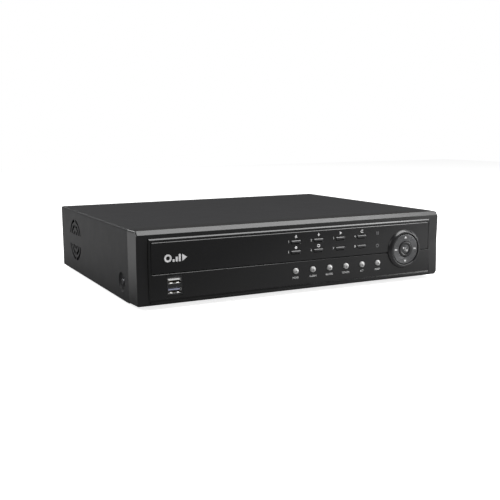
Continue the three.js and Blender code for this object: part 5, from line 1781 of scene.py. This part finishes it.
    def _terminals(self) -> None:
        """The terminal block: eight wire holes under eight clamp screws."""
        x, z, width, height = self.TERMINAL
        end = self.back + 8.0
        pitch = width / 8.0
        body = Solid.box((x - width / 2.0, 237.4, 11.9), (x + width / 2.0, end, z + height / 2.0))
        hole = Solid.prism(rounded_loop((-1.2, -1.4), (1.2, 1.4), 0.4, 3), Axis.Y, end - 6.0, end + 1.0)
        well = Solid.prism(round_loop(1.45, sides=24), Axis.Y, end - 2.2, end + 1.0)
        first = x - width / 2.0 + pitch / 2.0
        step = (pitch, 0.0, 0.0)
        holes = Repeater.row(hole, Shop.GREEN, 8, (first, 0.0, z - 2.0), step)
        wells = Repeater.row(well, Shop.GREEN, 8, (first, 0.0, z + 2.6), step)
        groove = Solid.box((-0.15, end - 0.5, -8.0), (0.15, end + 1.0, 8.0))
        grooves = Repeater.row(groove, Shop.GREEN, 7, (first + pitch / 2.0, 0.0, z), step)
        body = body.cut(holes, wells, grooves).rounded(0.18)
        body.piece("terminal_block_body", Shop.GREEN, replaces=["terminal_block"])
        head = Solid.prism(round_loop(1.35, sides=24), Axis.Y, end - 2.1, end - 0.7).cut(
            Solid.box((-0.22, end - 1.2, -2.0), (0.22, end + 1.0, 2.0)).turned(35.0, Axis.Y)
        )
        heads = Repeater.row(head, Shop.NICKEL, 8, (first, 0.0, z + 2.6), step)
        heads.piece("terminal_screws", Shop.NICKEL)

    def _power(self) -> None:
        """The inlet, the switch housing and its rocker."""
        x, z, radius = self.DC
        end = self.back + 1.0
        block = Solid.box((x - 5.0, 234.4, self.low), (x + 5.0, 247.0, z + 6.0)).rounded(0.4)
        ring = Solid.lathe([
            (3.2, 242.0), (3.2, end - 0.4), (3.45, end), (4.3, end), (radius, end - 0.35), (radius, 242.0),
        ], sides=48)
        ring.at(x, z).with_(block).piece("power_inlet_body", Shop.BLACK, replaces=["dc_jack"])
        pin = Solid.lathe([(0.0, 247.5), (1.0, 247.5), (1.0, end - 1.5), (0.7, end - 1.0), (0.0, end - 1.0)], sides=24)
        pin.at(x, z).piece("power_inlet_pin", Shop.NICKEL)
        x, z, width, height = self.POWER
        flange = Solid.prism(window_loop(x, z, width, height, 1.5, 5), Axis.Y, 249.0, 251.4)
        body = Solid.box((x - 6.6, 231.4, z - 9.6), (x + 6.6, 250.0, z + 9.6))
        well = Solid.box((x - 5.6, 238.4, z - 8.7), (x + 5.6, 253.0, z + 8.7))
        bezel = flange.fused(body).cut(well).rounded(0.3, 3)
        bezel.piece("power_switch_bezel", Shop.BLACK, replaces=["power_switch_housing"])
        half = [(-4.6, -2.2), (4.2, -7.8), (5.9, -7.8), (6.0, -7.6), (4.55, -1.5)]
        outline = [*half, (4.2, 0.0), *[(y, -z) for y, z in reversed(half)]]
        rocker = Solid.prism(outline, Axis.X, -5.2, 5.2).rounded(0.3, 2, 25.0)
        place = Matrix.Translation((x, self.back - 2.0, z)) @ Matrix.Rotation(math.radians(-9.0), 4, "X")
        rocker.placed(place).piece("power_switch_rocker", Shop.BLACK, body="power_key", replaces=["power_rocker"])
        upper, lower = (
            Matrix.Translation((0.0, 5.12, side * 4.6)) @ Matrix.Rotation(math.radians(side * -13.3), 4, "X")
            for side in (1, -1)
        )
        dash = Solid.box((-0.22, -0.06, -1.3), (0.22, 0.12, 1.3)).placed(upper)
        hoop = Solid.tube(0.8, 1.2, -0.06, 0.12, 28).placed(lower)
        dash.with_(hoop).placed(place).piece("power_switch_marks", Shop.INK, body="power_key")

    def _printing(self) -> None:
        """Socket numbers and plain words on the rear wall."""
        face = self.wall + 1.0

        def words(text: str, x: float, z: float, height: float = 1.7) -> Solid:
            """A line of lettering that faces the rear."""
            return Solid.lettering(text, height, None, 0.06).turned(180.0, Axis.Z).moved(x, face, z)

        marks = []
        for i, x in enumerate(self.VIDEO_XS):
            marks += [words(str(2 * i + 1), x, 53.2, 2.0), words(str(2 * i + 2), x, 30.3, 2.0)]
        marks += [
            words("VIDEO IN", 91.0, 12.4), words("VIDEO OUT", self.OUT_X, 53.2), words("AUDIO IN", 17.0, 49.5),
            words("AUDIO OUT", 17.0, 27.4), words("MONITOR", self.VGA[0], 53.2), words("LAN", self.ETHERNET[0], 27.0),
            words("ALARM", self.TERMINAL[0], 26.2), words("DC IN", self.DC[0], 26.0, 1.5),
            words("POWER", self.POWER[0], 56.2, 1.5),
        ]
        Solid.group(marks).piece("rear_marks", Shop.PALE_INK)


# ------------------------------------------------------------------ studio
@dataclass
class SoftBox:
    """A rectangular lamp."""

    name: str
    at: Point
    towards: Point
    size: Pair
    power: float

    def build(self) -> None:
        """Hangs the lamp."""
        lamp = bpy.data.lights.new(self.name, "AREA")
        lamp.shape = "RECTANGLE"
        lamp.size, lamp.size_y = self.size
        lamp.energy = self.power
        made = bpy.data.objects.new(self.name, lamp)
        made.location = self.at
        made.visible_camera = False
        aim = Vector(self.towards) - Vector(self.at)
        made.rotation_euler = aim.to_track_quat("-Z", "Y").to_euler()
        bpy.context.scene.collection.objects.link(made)


@dataclass
class Studio:
    """The floor, the lamps, the surrounding light and the camera."""

    azimuth: float = -27.018
    elevation: float = 8.9215
    roll: float = -0.3364
    lens: float = 55.90
    distance: float = 0.8394
    centre: Point = (0.0, 0.0, 0.0365)
    slide: Pair = (0.0110, -0.0129)
    lamps: tuple[SoftBox, ...] = (
        SoftBox("lamp_overhead", (0.36, -0.42, 1.15), (0.0, -0.02, 0.03), (1.1, 0.7), 17.0),
        SoftBox("lamp_high_right", (1.12, -0.42, 1.1), (0.1, -0.1, 0.03), (0.5, 0.7), 4.2),
        SoftBox("lamp_left", (-1.25, 0.05, 0.85), (-0.1, 0.0, 0.03), (0.7, 0.7), 9.5),
        SoftBox("lamp_right", (1.25, -0.85, 0.30), (0.1, -0.1, 0.03), (0.8, 0.5), 9.5),
        SoftBox("lamp_back", (-0.5, 1.7, 0.95), (0.0, 0.0, 0.05), (0.8, 0.6), 5.0),
    )
    surround: float = 0.12
    floor_glow: float = 0.8
    floor_half: float = 2.2
    card_dim: float = 0.2
    card_bright: float = 0.88
    # The card's painted shadow under the recorder: its tone at the footprint, and how far out it fades.
    card_shadow_tone: float = 0.5
    card_shadow_reach: float = 0.38
    card_ramp: Pair = (-1.2, -0.1)
    footprint: Pair = (0.1625, 0.13)

    def build(self) -> None:
        """Sets up the studio."""
        self._floor()
        self._world()
        for lamp in self.lamps:
            lamp.build()
        self._camera()

    def _floor(self) -> None:
        """A pale glowing floor, which the recorder mirrors as a card that is dim at the front left, with a painted
        shadow under and round the recorder.
        """
        work = bmesh.new()
        bmesh.ops.create_grid(work, x_segments=1, y_segments=1, size=self.floor_half)
        mesh = bpy.data.meshes.new("floor")
        work.to_mesh(mesh)
        work.free()
        floor = bpy.data.objects.new("studio_floor", mesh)
        paper = bpy.data.materials.new("studio_paper")
        paper.use_nodes = True
        paper.node_tree.nodes.clear()
        graph = Graph(paper.node_tree)
        place = graph.add("ShaderNodeTexCoord", output="Object")
        shade = graph.scaled((0.85, 0.85, 0.85), graph.noise(place, 9.0) * 0.02 + 0.99)
        matt = graph.add(
            "ShaderNodeBsdfPrincipled",
            {},
            {
                "Base Color": shade, "Roughness": 0.95, "Specular IOR Level": 0.0,
                "Emission Color": (1.0, 1.0, 1.0, 1.0), "Emission Strength": self.floor_glow,
            },
        )
        along = graph.axis(place, "X") * 2.0 + graph.axis(place, "Y") * 3.0
        falloff = along.ramped(*self.card_ramp) * (self.card_bright - self.card_dim) + self.card_dim
        # Painted shadow: the card's tone falls to half under the recorder and recovers with distance from its
        # footprint.
        beside, before = (
            graph.axis(place, name).math("ABSOLUTE") - half for name, half in zip("XY", self.footprint)
        )
        clear = (beside * 1.9).math("MAXIMUM", before).ramped(0.0, self.card_shadow_reach) * (1.0 - self.card_shadow_tone)
        tone = graph.scaled((1.0, 1.0, 1.0), falloff * (clear + self.card_shadow_tone))
        card = graph.add("ShaderNodeBsdfDiffuse", {}, {"Color": tone})
        seen = graph.add("ShaderNodeLightPath", output="Is Camera Ray")
        both = graph.add("ShaderNodeMixShader", {}, {0: seen, 1: card, 2: matt})
        graph.add("ShaderNodeOutputMaterial", {}, {"Surface": both})
        mesh.materials.append(paper)
        bpy.context.scene.collection.objects.link(floor)

    def _world(self) -> None:
        """An even light all round, white behind everything."""
        world = bpy.data.worlds.new("studio")
        world.use_nodes = True
        world.node_tree.nodes.clear()
        graph = Graph(world.node_tree)
        seen = graph.add("ShaderNodeLightPath", output="Is Camera Ray")
        strength = seen * (1.0 - self.surround) + self.surround
        light = graph.add("ShaderNodeBackground", {}, {"Color": (1.0, 1.0, 1.0, 1.0), "Strength": strength})
        graph.add("ShaderNodeOutputWorld", {}, {"Surface": light})
        bpy.context.scene.world = world

    def _camera(self) -> None:
        """The camera, a little turned about its own axis."""
        across, up = math.radians(self.azimuth), math.radians(self.elevation)
        back = Vector((math.sin(across) * math.cos(up), -math.cos(across) * math.cos(up), math.sin(up)))
        right = Vector((0.0, 0.0, 1.0)).cross(back).normalized()
        above = back.cross(right)
        turn = math.radians(self.roll)
        side = right * math.cos(turn) + above * math.sin(turn)
        top = -right * math.sin(turn) + above * math.cos(turn)
        place = Vector(self.centre) + back * self.distance + side * self.slide[0] + top * self.slide[1]
        data = bpy.data.cameras.new("studio_camera")
        data.lens = self.lens
        data.sensor_width = 36.0
        data.clip_start = 0.05
        camera = bpy.data.objects.new("studio_camera", data)
        camera.matrix_world = Matrix.Translation(place) @ Matrix((side, top, back)).transposed().to_4x4()
        bpy.context.scene.collection.objects.link(camera)
        bpy.context.scene.camera = camera
        bpy.context.scene.view_settings.view_transform = "Standard"


def main() -> None:
    """Builds the recorder and its studio."""
    logging.basicConfig(level=logging.INFO, format="%(message)s")
    front = (FrontBezel, FrontPanel, ChannelKeys, StatusLights, NavigationPad, DataPorts)
    for group in (SteelCase, *front, SideFan, Interior, RearPanel):
        LOG.info("%s", group.__name__)
        group().build()
    Studio().build()


if __name__ == "__main__":
    main()
